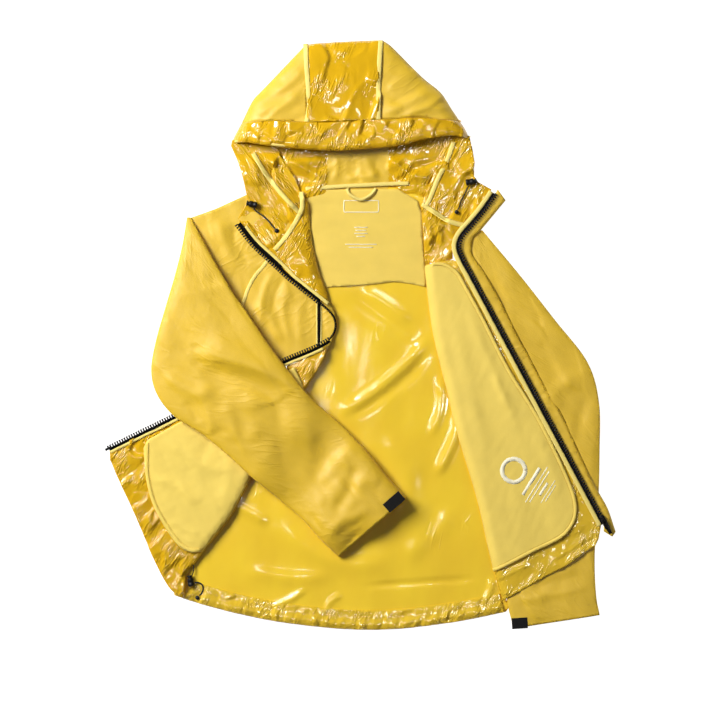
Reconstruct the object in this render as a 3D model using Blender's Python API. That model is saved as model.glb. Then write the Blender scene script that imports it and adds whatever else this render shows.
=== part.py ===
"""A hooded hardshell jacket, laid open on its back.

The jacket lies in the XY plane with its hood towards +Y and the wearer's right side towards -X.
Numbers are millimetres until they reach Blender, which holds metres. Cloth layers are plain sheets.
Each fold that moves has its axis on the fold line: the left front, the right forearm and the hood crown.
"""

import math

import bpy
from mathutils import Matrix, Vector

MM = 0.001

# Driving dimensions of the whole jacket as it lies.
HALF_WIDTH = 421
HALF_LENGTH = 485

# Heights of the cloth layers, (bottom, top).
BACK = (0.0, 3.0)
LINING = (3.4, 4.8)
SLEEVE_UNDER = (0.0, 2.0)
SLEEVE_UPPER = (9.0, 11.0)
CHEST = (5.4, 7.4)
CHEEK_RIGHT = (8.4, 10.2)
CHEEK_LEFT = (5.4, 7.4)
TURNED = (14.5, 16.0)
TURNED_BAG = (16.4, 17.8)
FRONT_SHELL = (11.6, 13.4)
FRONT_BAG = (13.8, 15.0)
STORM_FLAP = (11.4, 12.6)
RIGHT_SLEEVE_UNDER = (20.0, 22.0)
RIGHT_SLEEVE_UPPER = (29.0, 31.0)
CORD_CHANNEL = (6.3, 7.5)

# Zip chain: teeth and tape sections, measured from the chain's middle.
TEETH_HALF_WIDTH = 2.2
POCKET_TEETH_HALF_WIDTH = 1.4
POCKET_TEETH_HALF_HEIGHT = 0.7
TEETH_HEIGHT = 2.6
TAPE_WIDTH = 6.4
TAPE_HEIGHT = 1.0
LEFT_CHAIN_Z = 15.9
RIGHT_CHAIN_Z = 17.8
POCKET_CHAIN_Z = 9.5

# Zip sliders and their pulls.
RUNNING_GAP = 0.35
BRIDGE_REACH = 3.5
SLIDER_TO_END = 7.5
MAIN_SLIDER = {
    "length": 12.0,
    "half_height": 2.9,
    "plate": 1.2,
    "bridge": 2.6,
    "pull_length": 30.0,
    "pull_thickness": 1.6,
    "teeth_half_width": TEETH_HALF_WIDTH,
    "tape": True,
}
POCKET_SLIDER = {
    "length": 10.0,
    "half_height": 1.8,
    "plate": 0.7,
    "bridge": 1.7,
    "pull_length": 16.0,
    "pull_thickness": 1.0,
    "teeth_half_width": POCKET_TEETH_HALF_WIDTH,
    "tape": False,
}

# Cuffs.
CUFF_LENGTH = 25.0
CUFF_WALL = 2.0

# Cord locks and cords.
LOCK_RADIUS = 5.2
LOCK_LENGTH = 13.0
BUTTON_STROKE = 2.5
CORD_RADIUS = 1.2
BEAD_RADIUS = 3.6

# Hood: the top sheet rises from the crown to the brim.
CROWN_Y = 486.0
CROWN_FOLD_Y = 315.0
HOOD_RISE = 0.235
HOOD_TOP = (4.0, 5.8)

# The left front's fold line, from the collar bend to the side seam at the hem.
FOLD_TOP = Vector((155.0, 148.0))
FOLD_BOTTOM = Vector((233.0, -437.0))

# The right sleeve's elbow fold, from the outer to the inner edge.
ELBOW_OUTER = Vector((-316.0, -134.0))
ELBOW_INNER = Vector((-158.0, 8.0))

# The left zip chain is straight from the collar bend to the hem.
LEFT_CHAIN_TOP = Vector((181.5, 101.5))
LEFT_CHAIN_BOTTOM = Vector((400.0, -308.5))

PART_COLLECTION = "hardshell_jacket"
HELPER_COLLECTION = "cutters"


def linear(channel):
    """A display colour channel, 0 to 255, as scene-linear light."""
    value = channel / 255
    return value / 12.92 if value <= 0.04045 else ((value + 0.055) / 1.055) ** 2.4


def make_material(name, rgb, roughness, metallic=0.0):
    material = bpy.data.materials.new(name)
    material.use_nodes = True
    shader = material.node_tree.nodes["Principled BSDF"]
    shader.inputs["Base Color"].default_value = (*map(linear, rgb), 1.0)
    shader.inputs["Roughness"].default_value = roughness
    shader.inputs["Metallic"].default_value = metallic
    return material


def clear_scene():
    for obj in list(bpy.data.objects):
        bpy.data.objects.remove(obj)


def smooth(points, steps=3):
    """Points along a Catmull-Rom curve through the given ones, ends included."""
    line = [Vector(p) for p in points]
    padded = [2 * line[0] - line[1], *line, 2 * line[-1] - line[-2]]
    found = []
    for a, b, c, d in zip(padded, padded[1:], padded[2:], padded[3:]):
        for step in range(steps):
            t = step / steps
            found.append(
                0.5 * (2 * b + (c - a) * t + (2 * a - 5 * b + 4 * c - d) * t**2 + (3 * b - a - 3 * c + d) * t**3)
            )
    return [*found, line[-1]]


def beside(path, distance):
    """The path moved sideways, to its left as it runs."""
    line = [Vector(p[:2]) for p in path]
    moved = []
    for i, point in enumerate(line):
        along = (line[min(i + 1, len(line) - 1)] - line[max(i - 1, 0)]).normalized()
        moved.append(point + Vector((-along.y, along.x)) * distance)
    return moved


def band(path, left, right):
    """The outline of a strip along a path, reaching left and right of it."""
    return beside(path, left) + beside(path, -right)[::-1]


def fold_point(y, offset=0.0):
    """A point of the left front's fold line at that height up the jacket, moved across by the offset."""
    share = (FOLD_TOP.y - y) / (FOLD_TOP.y - FOLD_BOTTOM.y)
    return Vector((FOLD_TOP.x + share * (FOLD_BOTTOM.x - FOLD_TOP.x) + offset, y))


def elbow_points(offset):
    """The elbow fold line's two ends, moved towards the cuff by the offset."""
    along = (ELBOW_INNER - ELBOW_OUTER).normalized()
    shift = Vector((along.y, -along.x)) * offset
    return ELBOW_OUTER + shift, ELBOW_INNER + shift


def link(obj, helper=False):
    name = HELPER_COLLECTION if helper else PART_COLLECTION
    collection = bpy.data.collections.get(name)
    if collection is None:
        collection = bpy.data.collections.new(name)
        bpy.context.scene.collection.children.link(collection)
    collection.objects.link(obj)
    if helper:
        obj.hide_render = True
        obj.display_type = "WIRE"
    return obj


def sheet(name, outline, layer, material, holes=()):
    """A flat cloth piece between the layer's two heights."""
    bottom, top = layer
    curve = bpy.data.curves.new(name, "CURVE")
    curve.dimensions = "2D"
    curve.fill_mode = "BOTH"
    curve.extrude = (top - bottom) / 2 * MM
    for ring in (outline, *holes):
        spline = curve.splines.new("POLY")
        spline.points.add(len(ring) - 1)
        for point, place in zip(spline.points, ring):
            point.co = (place[0] * MM, place[1] * MM, 0.0, 1.0)
        spline.use_cyclic_u = True
    curve.materials.append(material)
    obj = bpy.data.objects.new(name, curve)
    obj.location.z = (top + bottom) / 2 * MM
    return link(obj)


def as_mesh(obj):
    """The curve object replaced by a mesh object of the same name and place."""
    bpy.context.view_layer.update()
    graph = bpy.context.evaluated_depsgraph_get()
    mesh = bpy.data.meshes.new_from_object(obj.evaluated_get(graph))
    name, matrix = obj.name, obj.matrix_world.copy()
    bpy.data.objects.remove(obj)
    made = bpy.data.objects.new(name, mesh)
    made.matrix_world = matrix
    return link(made)


def raised(obj):
    """A hood top piece, sheared so that it rises from the crown to the brim."""
    made = as_mesh(obj)
    made.data.transform(made.matrix_world)
    made.matrix_world = Matrix.Identity(4)
    for vertex in made.data.vertices:
        vertex.co.z += HOOD_RISE * (CROWN_Y * MM - vertex.co.y)
    return made


def tube(name, points, radius, material, resolution=2):
    """A round cord along 3D points."""
    curve = bpy.data.curves.new(name, "CURVE")
    curve.dimensions = "3D"
    curve.bevel_depth = radius * MM
    curve.bevel_resolution = resolution
    curve.use_fill_caps = True
    spline = curve.splines.new("POLY")
    spline.points.add(len(points) - 1)
    for point, place in zip(spline.points, points):
        point.co = (*(Vector(place) * MM), 1.0)
    curve.materials.append(material)
    return link(bpy.data.objects.new(name, curve))


def primitive(add, name, material, helper=False, **sizes):
    """A mesh primitive in the part's collection, or among the helpers. Sizes are in metres."""
    add(**sizes)
    obj = bpy.context.object
    obj.name = name
    for collection in list(obj.users_collection):
        collection.objects.unlink(obj)
    if material:
        obj.data.materials.append(material)
    return link(obj, helper)


def block(name, centre, size, material=None, helper=False):
    """A box, with its size in its mesh."""
    obj = primitive(bpy.ops.mesh.primitive_cube_add, name, material, helper, size=1.0)
    obj.data.transform(Matrix.Diagonal((*(Vector(size) * MM), 1.0)))
    obj.location = Vector(centre) * MM
    return obj


def rod(name, start, length, radius, material=None, helper=False, sides=16):
    """A cylinder that runs along +X from its start."""
    obj = primitive(
        bpy.ops.mesh.primitive_cylinder_add,
        name,
        material,
        helper,
        vertices=sides,
        radius=radius * MM,
        depth=length * MM,
    )
    obj.data.transform(Matrix.Rotation(math.pi / 2, 4, "Y"))
    obj.data.transform(Matrix.Translation((length / 2 * MM, 0, 0)))
    obj.location = Vector(start) * MM
    return obj


def combine(target, other, operation):
    modifier = target.modifiers.new(other.name, "BOOLEAN")
    modifier.operation = operation
    modifier.object = other
    other.parent = target.parent
    return target


def group_at(name, place, turn):
    """An empty that carries a small assembly: place in millimetres, turn in radians about Z."""
    empty = bpy.data.objects.new(name, None)
    empty.location = Vector(place) * MM
    empty.rotation_euler.z = turn
    return link(empty)


def seat(obj, empty):
    """Carries an object with an assembly's empty, in the empty's own coordinates."""
    obj.parent = empty
    return obj


def chain(prefix, path, middle, materials):
    """A zip's tape and its row of teeth along a path, teeth on the path's left."""
    half = TEETH_HEIGHT / 2
    tape_half = TAPE_HEIGHT / 2
    sheet(
        f"{prefix}_tape",
        band(path, -TEETH_HALF_WIDTH - RUNNING_GAP, TEETH_HALF_WIDTH + TAPE_WIDTH),
        (middle - tape_half, middle + tape_half),
        materials["zip"],
    )
    sheet(
        f"{prefix}_teeth",
        band(path, TEETH_HALF_WIDTH, TEETH_HALF_WIDTH),
        (middle - half, middle + half),
        materials["zip"],
    )


def slider(prefix, empty, sizes, materials):
    """A zip slider that runs along the empty's Y on a chain at its origin, and its pull.

    The slider closes round its teeth. With a tape it is open towards -X.
    """
    plate, bridge, pull_length = sizes["plate"], sizes["bridge"], sizes["pull_length"]
    length, half_height = sizes["length"], sizes["half_height"]
    inside = sizes["teeth_half_width"] + RUNNING_GAP
    plate_z = half_height - plate / 2
    cavity = 2 * (half_height - plate)
    name = f"{prefix}_slider"
    body = block(name, (0, 0, 0), (2 * (inside + plate), length, 2 * half_height), materials["zip_metal"])
    opening = 2 * plate if sizes["tape"] else 0.0
    channel = block(
        f"{prefix}_channel",
        (-opening / 2, 0, 0),
        (2 * inside + opening, length + 2.0, cavity),
        helper=True,
    )
    seat(body, empty)
    combine(body, channel, "DIFFERENCE")
    bar_z = half_height + bridge / 2
    beam_z = half_height + bridge + plate / 2 - 0.1
    post_height = bridge + plate
    post_y = BRIDGE_REACH + plate / 2
    beam = block(f"{prefix}_beam", (0, 0, beam_z), (2.0, 2 * (BRIDGE_REACH + plate), plate), helper=True)
    combine(body, beam, "UNION")
    for side in (-1, 1):
        foot = block(
            f"{prefix}_post_{side}",
            (0, side * post_y, plate_z + post_height / 2),
            (2.0, plate, post_height),
            helper=True,
        )
        combine(body, foot, "UNION")
    half = sizes["pull_thickness"] / 2
    ring = [(-4, half), (4, half), (4, -9), (2.6, 3 - pull_length), (-2.6, 3 - pull_length), (-4, -9)]
    window = [(-2.0, -half), (2.0, -half), (2.0, -7.5), (-2.0, -7.5)]
    pull = sheet(f"{prefix}_pull", ring, (-half, half), materials["zip_pull"], [window])
    pull.location.z = bar_z * MM
    seat(pull, empty)


def cord_lock(prefix, place, turn, materials):
    """A barrel cord lock lying on its side: its button points along the empty's +X."""
    empty = group_at(f"{prefix}_frame", place, turn)
    start = -LOCK_LENGTH / 2
    body = rod(f"{prefix}_body", (start, 0, 0), LOCK_LENGTH, LOCK_RADIUS, materials["lock"])
    seat(body, empty)
    bore = rod(f"{prefix}_bore", (start + 2.0, 0, 0), LOCK_LENGTH, 3.9, helper=True)
    combine(body, bore, "DIFFERENCE")
    for side in (-1, 1):
        slot = block(f"{prefix}_slot_{side}", (0, side * LOCK_RADIUS, 0), (3.4, LOCK_RADIUS, 3.4), helper=True)
        combine(body, slot, "DIFFERENCE")
    stem_start = 2.0
    stem_length = LOCK_LENGTH / 2 + BUTTON_STROKE + 0.9 - stem_start
    button = rod(f"{prefix}_button", (stem_start, 0, 0), stem_length, 3.5, materials["lock"])
    guide = rod(f"{prefix}_guide", (-1.5, 0, 0), stem_start + 2.0, 1.3, helper=True, sides=10)
    cap_start = LOCK_LENGTH / 2 + BUTTON_STROKE + 0.5
    cap = rod(f"{prefix}_cap", (cap_start, 0, 0), 2.2, 4.6, helper=True)
    seat(button, empty)
    combine(button, cap, "UNION")
    combine(button, guide, "UNION")


def cuff(name, edge, layers, material):
    """A flat ring at a sleeve's end. The edge is its outer side, read so that the sleeve lies to its left."""
    start, end = (Vector(p) for p in edge)
    along = (end - start).normalized()
    inward = Vector((-along.y, along.x))
    middle = (start + end) / 2 + inward * CUFF_LENGTH / 2
    bottom, top = layers[0][0], layers[1][1]
    hole_bottom, hole_top = layers[0][1], layers[1][0]
    place = group_at(f"{name}_frame", (*middle, (bottom + top) / 2), math.atan2(along.y, along.x))
    width = (end - start).length - 4.0
    ring = block(name, (0, 0, 0), (width, CUFF_LENGTH - 1.0, top - bottom), material)
    hole_size = (width - 2 * CUFF_WALL, CUFF_LENGTH + 2.0, hole_top - hole_bottom)
    hole = block(f"{name}_hole", (0, 0, 0), hole_size, helper=True)
    seat(ring, place)
    combine(ring, hole, "DIFFERENCE")


def bead(name, place, material):
    obj = primitive(
        bpy.ops.mesh.primitive_uv_sphere_add,
        name,
        material,
        segments=12,
        ring_count=8,
        radius=BEAD_RADIUS * MM,
    )
    obj.location = Vector(place) * MM
    return obj


# Outlines shared by several pieces.
BACK_HEM = smooth(
    [
        (-308, -428), (-268, -441), (-200, -459), (-120, -474), (0, -HALF_LENGTH),
        (90, -480), (170, -469), (238, -455),
    ]
)
SIDE_FOLD = smooth([(-100, 222), (-82, 150), (-71, 105), (-57, 68), (-45, 35), (-43, 10), (-62, -28)])
FRONT_FOLD = [(-92, -88), (-180, -232), (-262, -357), (-288, -394)]
RIGHT_CHAIN = smooth(
    [
        (-205, 181), (-180, 149), (-150, 121), (-122, 95), (-97, 75), (-73, 56), (-59, 41),
        (-52, 26), (-53, 10), (-63, -3), (-84, -17), (-132, -40), (-211, -81),
        (-308, -130), (-361, -155), (-411, -180),
    ]
)
COLLAR_CHAIN = smooth([(221, 231), (202, 204), (183, 181), (168, 164), (162, 151), (163, 138), (172, 118)])
BRIM_EDGE = smooth([(-213, 316), (-185, 316), (-140, 310), (-60, 303), (0, 305), (60, 311), (145, 328), (180, 321)])
BRIM_SEAM = smooth([(-196, 350), (-140, 351), (-90, 350), (28, 354), (90, 356), (162, 354)])


def body_back(materials):
    """The back, its lining, and the hem's drawcord tunnel."""
    right_edge = [(244, -446), (238, -430), (112, 121), (150, 150), (96, 236), (60, 244)]
    left_edge = [(-110, 244), (-186, 222), (-276, 186), (-276, 0), (-288, -200), (-310, -420)]
    sheet("back_panel", [*BACK_HEM, *right_edge, *left_edge], BACK, materials["shell"])
    lower_edge = smooth([(100, 80), (50, 87), (0, 83), (-60, 79), (-110, 74)])
    sheet(
        "back_yoke_lining",
        [(-110, 236), (56, 241), (92, 206), (98, 180), *lower_edge],
        LINING,
        materials["lining"],
    )
    tunnel = smooth([(-252, -436), (-200, -450), (-120, -465), (0, -475), (90, -471), (170, -460), (226, -450)])
    sheet("hem_channel", band(tunnel, 9.5, 9.0), CORD_CHANNEL, materials["film"])
    cord_height = (BACK[1] + CORD_CHANNEL[0]) / 2
    path = [(*point, cord_height) for point in tunnel]
    tube("hem_drawcord", path, CORD_RADIUS, materials["cord"], resolution=1)


def hanger(materials):
    """The hanging loop sewn to the neck seam."""
    outer = smooth([(-25, 243), (-18, 230), (-2, 221), (15, 228), (26, 243)])
    inner = smooth([(19, 243), (11, 234), (-2, 228), (-12, 235), (-18, 243)])
    sheet("hanger_loop", [*outer, *inner], (6.7, 8.2), materials["lining"])


def hood(materials):
    """The crown folds up about CROWN_FOLD_Y. The neck lining and the cheeks stay with the body."""
    sheet(
        "hood_neck_lining",
        [(-198, 312), (172, 312), (160, 262), (102, 240), (60, 246), (-110, 246), (-172, 240), (-190, 270)],
        (0.0, 2.5),
        materials["film"],
    )
    crown_edge = [(-204, 318), (-196, 342), (-168, 390), (-88, 474), (30, 482), (126, 396), (170, 334), (176, 318)]
    sheet("hood_back_panel", crown_edge, (0.0, 2.5), materials["shell"])
    left_tape, right_tape = -90, 28
    centre = [(left_tape + 1, 352), (right_tape - 1, 355), (right_tape + 3, CROWN_Y - 1), (left_tape + 1, 478)]
    raised(sheet("hood_center_panel", centre, HOOD_TOP, materials["film"]))
    side_right = [(left_tape - 1, 352), (left_tape - 1, 477), (-172, 393), (-197, 351)]
    raised(sheet("hood_side_panel_right", side_right, HOOD_TOP, materials["shell"]))
    side_left = [(right_tape + 1, 356), (163, 356), (130, 398), (100, 430), (right_tape + 6, HALF_LENGTH)]
    raised(sheet("hood_side_panel_left", side_left, HOOD_TOP, materials["shell"]))
    seam = [point - Vector((0, 1)) for point in BRIM_SEAM]
    raised(sheet("hood_brim", [*BRIM_EDGE, *seam[::-1]], HOOD_TOP, materials["film"]))
    cord = []
    for point in beside(BRIM_EDGE, 12.0)[2:-2]:
        height = HOOD_TOP[0] + HOOD_RISE * (CROWN_Y - point.y) - CORD_RADIUS - 0.6
        cord.append((*point, height))
    tube("hood_drawcord", cord, CORD_RADIUS, materials["cord"], resolution=1)
    cheek_right = [
        (-212, 310), (-199, 280), (-192, 250), (-186, 216), (-192, 198), (-168, 166), (-140, 142),
        (-120, 160), (-103, 190), (-98, 208), (-136, 262), (-172, 310),
    ]
    sheet("hood_cheek_right", cheek_right, CHEEK_RIGHT, materials["film"])
    cheek_left = [
        (180, 314), (186, 290), (184, 258), (208, 240), (190, 212), (166, 182), (152, 160), (146, 138),
        (150, 122), (128, 124), (107, 121), (104, 180), (104, 208), (128, 258), (150, 314),
    ]
    sheet("hood_cheek_left", cheek_left, CHEEK_LEFT, materials["film"])


def locks_and_cords(materials):
    """Two cord locks at the hood and one at the hem, each with a short tail that ends in a bead."""
    right_z = CHEEK_RIGHT[1] + LOCK_RADIUS + 0.4
    cord_lock("hood_lock_right", (-178, 215, right_z), math.radians(168), materials)
    left_z = CHEEK_LEFT[1] + LOCK_RADIUS + 0.4
    cord_lock("hood_lock_left", (178, 252, left_z), math.radians(10), materials)
    hem_z = BACK[1] + LOCK_RADIUS + 0.4
    cord_lock("hem_lock", (-281, -406, hem_z), math.radians(100), materials)
    rest = CORD_RADIUS + 0.4
    tails = {
        "hood_cord_right": [(-176.5, 208.6), (-173, 204), (-163, 197), (-153, 188), (-146, 179), (-142.4, 175.2)],
        "hood_cord_left": [(176.0, 245.6), (173, 240), (169, 231), (164, 222), (161, 212), (158.4, 206.6)],
        "hem_cord_tail": [(-274.4, -406.6), (-268, -407), (-262, -411), (-261, -418), (-263.6, -424.6), (-267.2, -428.4)],
    }
    beads = {
        "hood_cord_right": ((-139.6, 172), CHEEK_RIGHT[1]),
        "hood_cord_left": ((156.4, 202.8), CHEEK_LEFT[1]),
        "hem_cord_tail": ((-270, -431.6), BACK[1]),
    }
    starts = {"hood_cord_right": right_z, "hood_cord_left": left_z, "hem_cord_tail": hem_z}
    for name, route in tails.items():
        place, floor = beads[name]
        low = floor + rest
        fall = [starts[name] - 0.8, low + 1.6, *[low] * (len(route) - 3), low + 0.6]
        points = [(*p, h) for p, h in zip(route, fall)]
        tube(name, smooth(points, steps=2), CORD_RADIUS, materials["cord"], resolution=2)
        bead(f"{name}_bead", (*place, floor + BEAD_RADIUS + 0.4), materials["lock"])


def right_front(materials):
    """The wearer's right front: the chest lies outside up, the turned part lies over it inside up."""
    seam = smooth([(-262, -24), (-196, 52), (-175, 90), (-150, 122), (-88, 168)])
    upper_seam = beside(seam, 0.6)
    lower_seam = beside(seam, -0.6)
    yoke = [(-272, 184), (-272, -20), *upper_seam[1:], *SIDE_FOLD[1::-1], (-110, 224), (-184, 220)]
    sheet("right_front_yoke", yoke, CHEST, materials["shell"])
    chest = [*lower_seam[::-1], (-276, -40), (-284, -200), (-306, -408), *FRONT_FOLD[::-1], *SIDE_FOLD[::-1][:16]]
    sheet("right_front_chest", chest, CHEST, materials["shell"])
    lapel_edge = beside(RIGHT_CHAIN, TEETH_HALF_WIDTH + 5)[6:20]
    lapel = [*lapel_edge, *[p + Vector((1.0, 0)) for p in SIDE_FOLD[3:12][::-1]], (-97, 212), (-104, 190), (-122, 160)]
    sheet("right_lapel", lapel, TURNED, materials["film"])
    lower_edge = beside(RIGHT_CHAIN, TEETH_HALF_WIDTH + 5)[30:]
    hem = smooth([(-413, -204), (-383, -280), (-345, -362), (-324, -408), (-306, -424)])
    sheet("right_front_facing", [*lower_edge, *hem, *FRONT_FOLD[::-1]], TURNED, materials["film"])
    bag = [
        (-352, -172), (-300, -146), (-180, -88), (-122, -60), (-100, -90), (-182, -226), (-262, -348),
        *smooth([(-272, -356), (-300, -344), (-336, -280), (-354, -212)]),
    ]
    sheet("right_pocket_bag", bag, TURNED_BAG, materials["bag"])
    chain("right_zip", RIGHT_CHAIN[::-1], RIGHT_CHAIN_Z, materials)
    pin = block("zip_insertion_pin", (0, 0, 0), (4.2, 9.0, 2.6), materials["zip_metal"])
    pin.location = Vector((-416.6, -186.2, RIGHT_CHAIN_Z)) * MM
    pin.rotation_euler.z = math.radians(-63.4)
    pocket = [(-70, 90), (-70, -68)]
    half, reach = POCKET_TEETH_HALF_HEIGHT, POCKET_TEETH_HALF_WIDTH
    sheet("pocket_zip", band(pocket, reach, reach), (POCKET_CHAIN_Z - half, POCKET_CHAIN_Z + half), materials["zip"])


def pocket_slider(materials):
    empty = group_at("pocket_slider_frame", (-70, 80, POCKET_CHAIN_Z), 0.0)
    slider("pocket", empty, POCKET_SLIDER, materials)


def left_front(materials):
    """The wearer's left front, opened with its inside up. It folds about the line from collar bend to hem."""
    side = [(110, 112), (144, 116), fold_point(104, -2.5), fold_point(-425, -2.5), (226, -430), (150, -150)]
    sheet("left_side_panel", side, FRONT_BAG, materials["bag"])
    chain_line = [LEFT_CHAIN_TOP, LEFT_CHAIN_BOTTOM]
    across = Vector((LEFT_CHAIN_TOP.y - LEFT_CHAIN_BOTTOM.y, LEFT_CHAIN_BOTTOM.x - LEFT_CHAIN_TOP.x)).normalized()
    inner_edge = [p - across * (TEETH_HALF_WIDTH + 5) for p in chain_line]
    shell = [
        fold_point(106, 2.5), inner_edge[0] + Vector((0, 0)), inner_edge[1], (388, -334), (384, -346),
        (300, -397), fold_point(-428, 6.0),
    ]
    sheet("left_front_shell", shell, FRONT_SHELL, materials["film"])
    bag = [
        fold_point(82, 2.5), (336, -234),
        *smooth([(349, -268), (349, -298), (336, -322), (308, -342)]),
        (258, -368), fold_point(-386, 2.5),
    ]
    sheet("left_pocket_bag", bag, FRONT_BAG, materials["bag"])
    chain("left_zip", chain_line, LEFT_CHAIN_Z, materials)
    sheet("left_zip_facing", band(chain_line, -9.2, 16.5), FRONT_BAG, materials["lining"])
    flap_outer = [(188, 122), (214, 82), (258, 0), (306, -92), (370, -216), (396, -262), (HALF_WIDTH, -322), (412, -332)]
    flap_inner = [p - across * (TEETH_HALF_WIDTH + 3.5) for p in chain_line[::-1]]
    sheet("left_storm_flap", [*flap_outer, *flap_inner, (172, 112)], STORM_FLAP, materials["shell"])
    half = TEETH_HEIGHT / 2
    collar_path = COLLAR_CHAIN[::-1]
    sheet(
        "collar_zip",
        band(collar_path, TEETH_HALF_WIDTH + 5.0, TEETH_HALF_WIDTH),
        (LEFT_CHAIN_Z - half, LEFT_CHAIN_Z + half),
        materials["zip"],
    )
    collar_flap = [
        (212, 240), (237, 222), (199, 173), *smooth([(188, 166), (183, 152), (184, 136)]),
        (166, 120), (158, 128), (156, 152), (166, 172), (190, 200),
    ]
    sheet("collar_storm_flap", collar_flap, STORM_FLAP, materials["shell"])


def main_zip_slider(materials):
    along = (LEFT_CHAIN_TOP - LEFT_CHAIN_BOTTOM).normalized()
    turn = math.atan2(-along.x, along.y)
    place = LEFT_CHAIN_BOTTOM + along * SLIDER_TO_END
    empty = group_at("main_slider_frame", (*place, LEFT_CHAIN_Z), turn)
    slider("main", empty, MAIN_SLIDER, materials)
    box_place = LEFT_CHAIN_BOTTOM - along * 5.0
    holder = group_at("zip_box_frame", (*box_place, LEFT_CHAIN_Z), turn)
    seat(block("zip_retainer_box", (0, 0, 0), (8.4, 9.0, 4.4), materials["zip_metal"]), holder)


def left_sleeve(materials):
    """The wearer's left sleeve lies beside the back, under the opened front: two panels with the arm's space between."""
    outer = [
        (194, 166), (240, 116), (285, 68), (326, 12), (374, -50), (387, -74), (391, -130), (391, -262),
        (385, -345), (383, -395), (386.5, -435.3),
    ]
    inner = [(246.5, -457.3), (244, -430), (229, -350), (206, -200), (176, -60), (160, 60), (172, 130)]
    outline = [*outer, *inner]
    sheet("left_sleeve_upper", outline, SLEEVE_UPPER, materials["shell"])
    sheet("left_sleeve_under", outline, SLEEVE_UNDER, materials["shell"])
    cuff("left_cuff", [(250, -483), (391, -461)], (SLEEVE_UNDER, SLEEVE_UPPER), materials["shell"])
    tab = group_at("left_cuff_tab_frame", (248, -474, SLEEVE_UPPER[1] + 1.2), math.radians(4))
    seat(block("left_cuff_tab", (12, 0, 0), (26, 18, 1.6), materials["hook"]), tab)


def right_sleeve(materials):
    """The wearer's right sleeve lies across the fronts. Its forearm folds up about the elbow line."""
    near_outer, near_inner = elbow_points(-1.5)
    upper_arm = [
        near_inner, (-283, 190), (-300, 150), (-320, 70), (-336, 5), (-344, -30), (-345, -65), (-331, -103), near_outer,
    ]
    far_outer, far_inner = elbow_points(1.5)
    forearm = [
        far_outer, (-240, -184), (-180, -236), (-90, -315), (-53, -343.5), (56, -247.6), (-40, -141),
        (-100, -84), far_inner,
    ]
    for name, outline in (("right_upper_arm", upper_arm), ("right_forearm", forearm)):
        sheet(f"{name}_upper", outline, RIGHT_SLEEVE_UPPER, materials["shell"])
        sheet(f"{name}_under", outline, RIGHT_SLEEVE_UNDER, materials["shell"])
    cuff("right_cuff", [(-36, -363), (73, -267)], (RIGHT_SLEEVE_UNDER, RIGHT_SLEEVE_UPPER), materials["shell"])
    turn = math.radians(41)
    tab = group_at("right_cuff_tab_frame", (58, -266, RIGHT_SLEEVE_UPPER[1] + 1.2), turn)
    seat(block("right_cuff_tab", (-8, -2, 0), (34, 18, 1.6), materials["hook"]), tab)


def main():
    clear_scene()
    materials = {
        "shell": make_material("coated_shell", (232, 190, 62), 0.55),
        "lining": make_material("matte_lining", (241, 209, 98), 0.75),
        "bag": make_material("pocket_bag_cloth", (244, 213, 102), 0.75),
        "film": make_material("glossy_film", (228, 180, 30), 0.2),
        "zip": make_material("zip_black", (18, 18, 20), 0.5),
        "zip_metal": make_material("zip_slider_black", (22, 22, 24), 0.35, 0.4),
        "zip_pull": make_material("zip_pull_black", (20, 20, 22), 0.5),
        "lock": make_material("cord_lock_black", (18, 18, 20), 0.45),
        "cord": make_material("cord_black", (20, 20, 22), 0.8),
        "hook": make_material("hook_tape_black", (14, 14, 15), 0.9),
    }
    body_back(materials)
    hanger(materials)
    hood(materials)
    locks_and_cords(materials)
    right_front(materials)
    pocket_slider(materials)
    left_front(materials)
    main_zip_slider(materials)
    left_sleeve(materials)
    right_sleeve(materials)


main()
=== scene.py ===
"""The finished looks of a hooded hardshell jacket that lies open on its back.

Cloth panels are fine meshes inside flat outlines, raised by a height over the plane. The heights hold each
panel's layer, its drape, its placed folds and its crumple. Lengths are millimetres until a mesh is made.
"""

import math

import bmesh
import bpy
import numpy as np
from bpy.props import FloatProperty, FloatVectorProperty, IntProperty, PointerProperty
from mathutils import Matrix, Vector
from mathutils.geometry import delaunay_2d_cdt


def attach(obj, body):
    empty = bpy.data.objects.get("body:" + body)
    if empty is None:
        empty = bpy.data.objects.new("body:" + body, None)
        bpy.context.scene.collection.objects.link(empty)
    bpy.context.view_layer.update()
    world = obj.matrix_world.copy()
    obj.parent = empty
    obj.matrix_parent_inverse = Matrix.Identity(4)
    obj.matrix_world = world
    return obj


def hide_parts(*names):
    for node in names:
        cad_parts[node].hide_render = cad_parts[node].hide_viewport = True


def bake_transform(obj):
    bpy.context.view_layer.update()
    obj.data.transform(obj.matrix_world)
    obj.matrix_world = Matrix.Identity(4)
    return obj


bl_info = {
    "name": "Hardshell jacket",
    "version": (1, 0, 0),
    "blender": (4, 5, 0),
    "location": "View3D > Sidebar > Jacket",
    "description": "Makes the cloth, zips, cords and stage of a hardshell jacket around its frame",
    "category": "Object",
}

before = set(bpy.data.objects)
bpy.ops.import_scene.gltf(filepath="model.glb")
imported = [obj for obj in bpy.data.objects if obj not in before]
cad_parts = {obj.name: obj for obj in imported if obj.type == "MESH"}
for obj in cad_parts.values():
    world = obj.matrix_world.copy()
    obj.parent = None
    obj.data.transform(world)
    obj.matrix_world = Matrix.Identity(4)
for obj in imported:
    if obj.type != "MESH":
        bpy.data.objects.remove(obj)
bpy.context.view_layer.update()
MM = 0.001

# How sharply crumpled facets meet, how many sizes of crumple are added up, and the share of a fold's
# length that fades at each end.
FACET_SHARPNESS = 15.0
CRUMPLE_OCTAVES = 3
FOLD_FADE = 0.25

# The room that a tape clears on each side, and the distance between a cloth tube's points, in millimetres.
TAPE_ROOM = 2.5
LOFT_SPACING = 3.5

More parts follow.
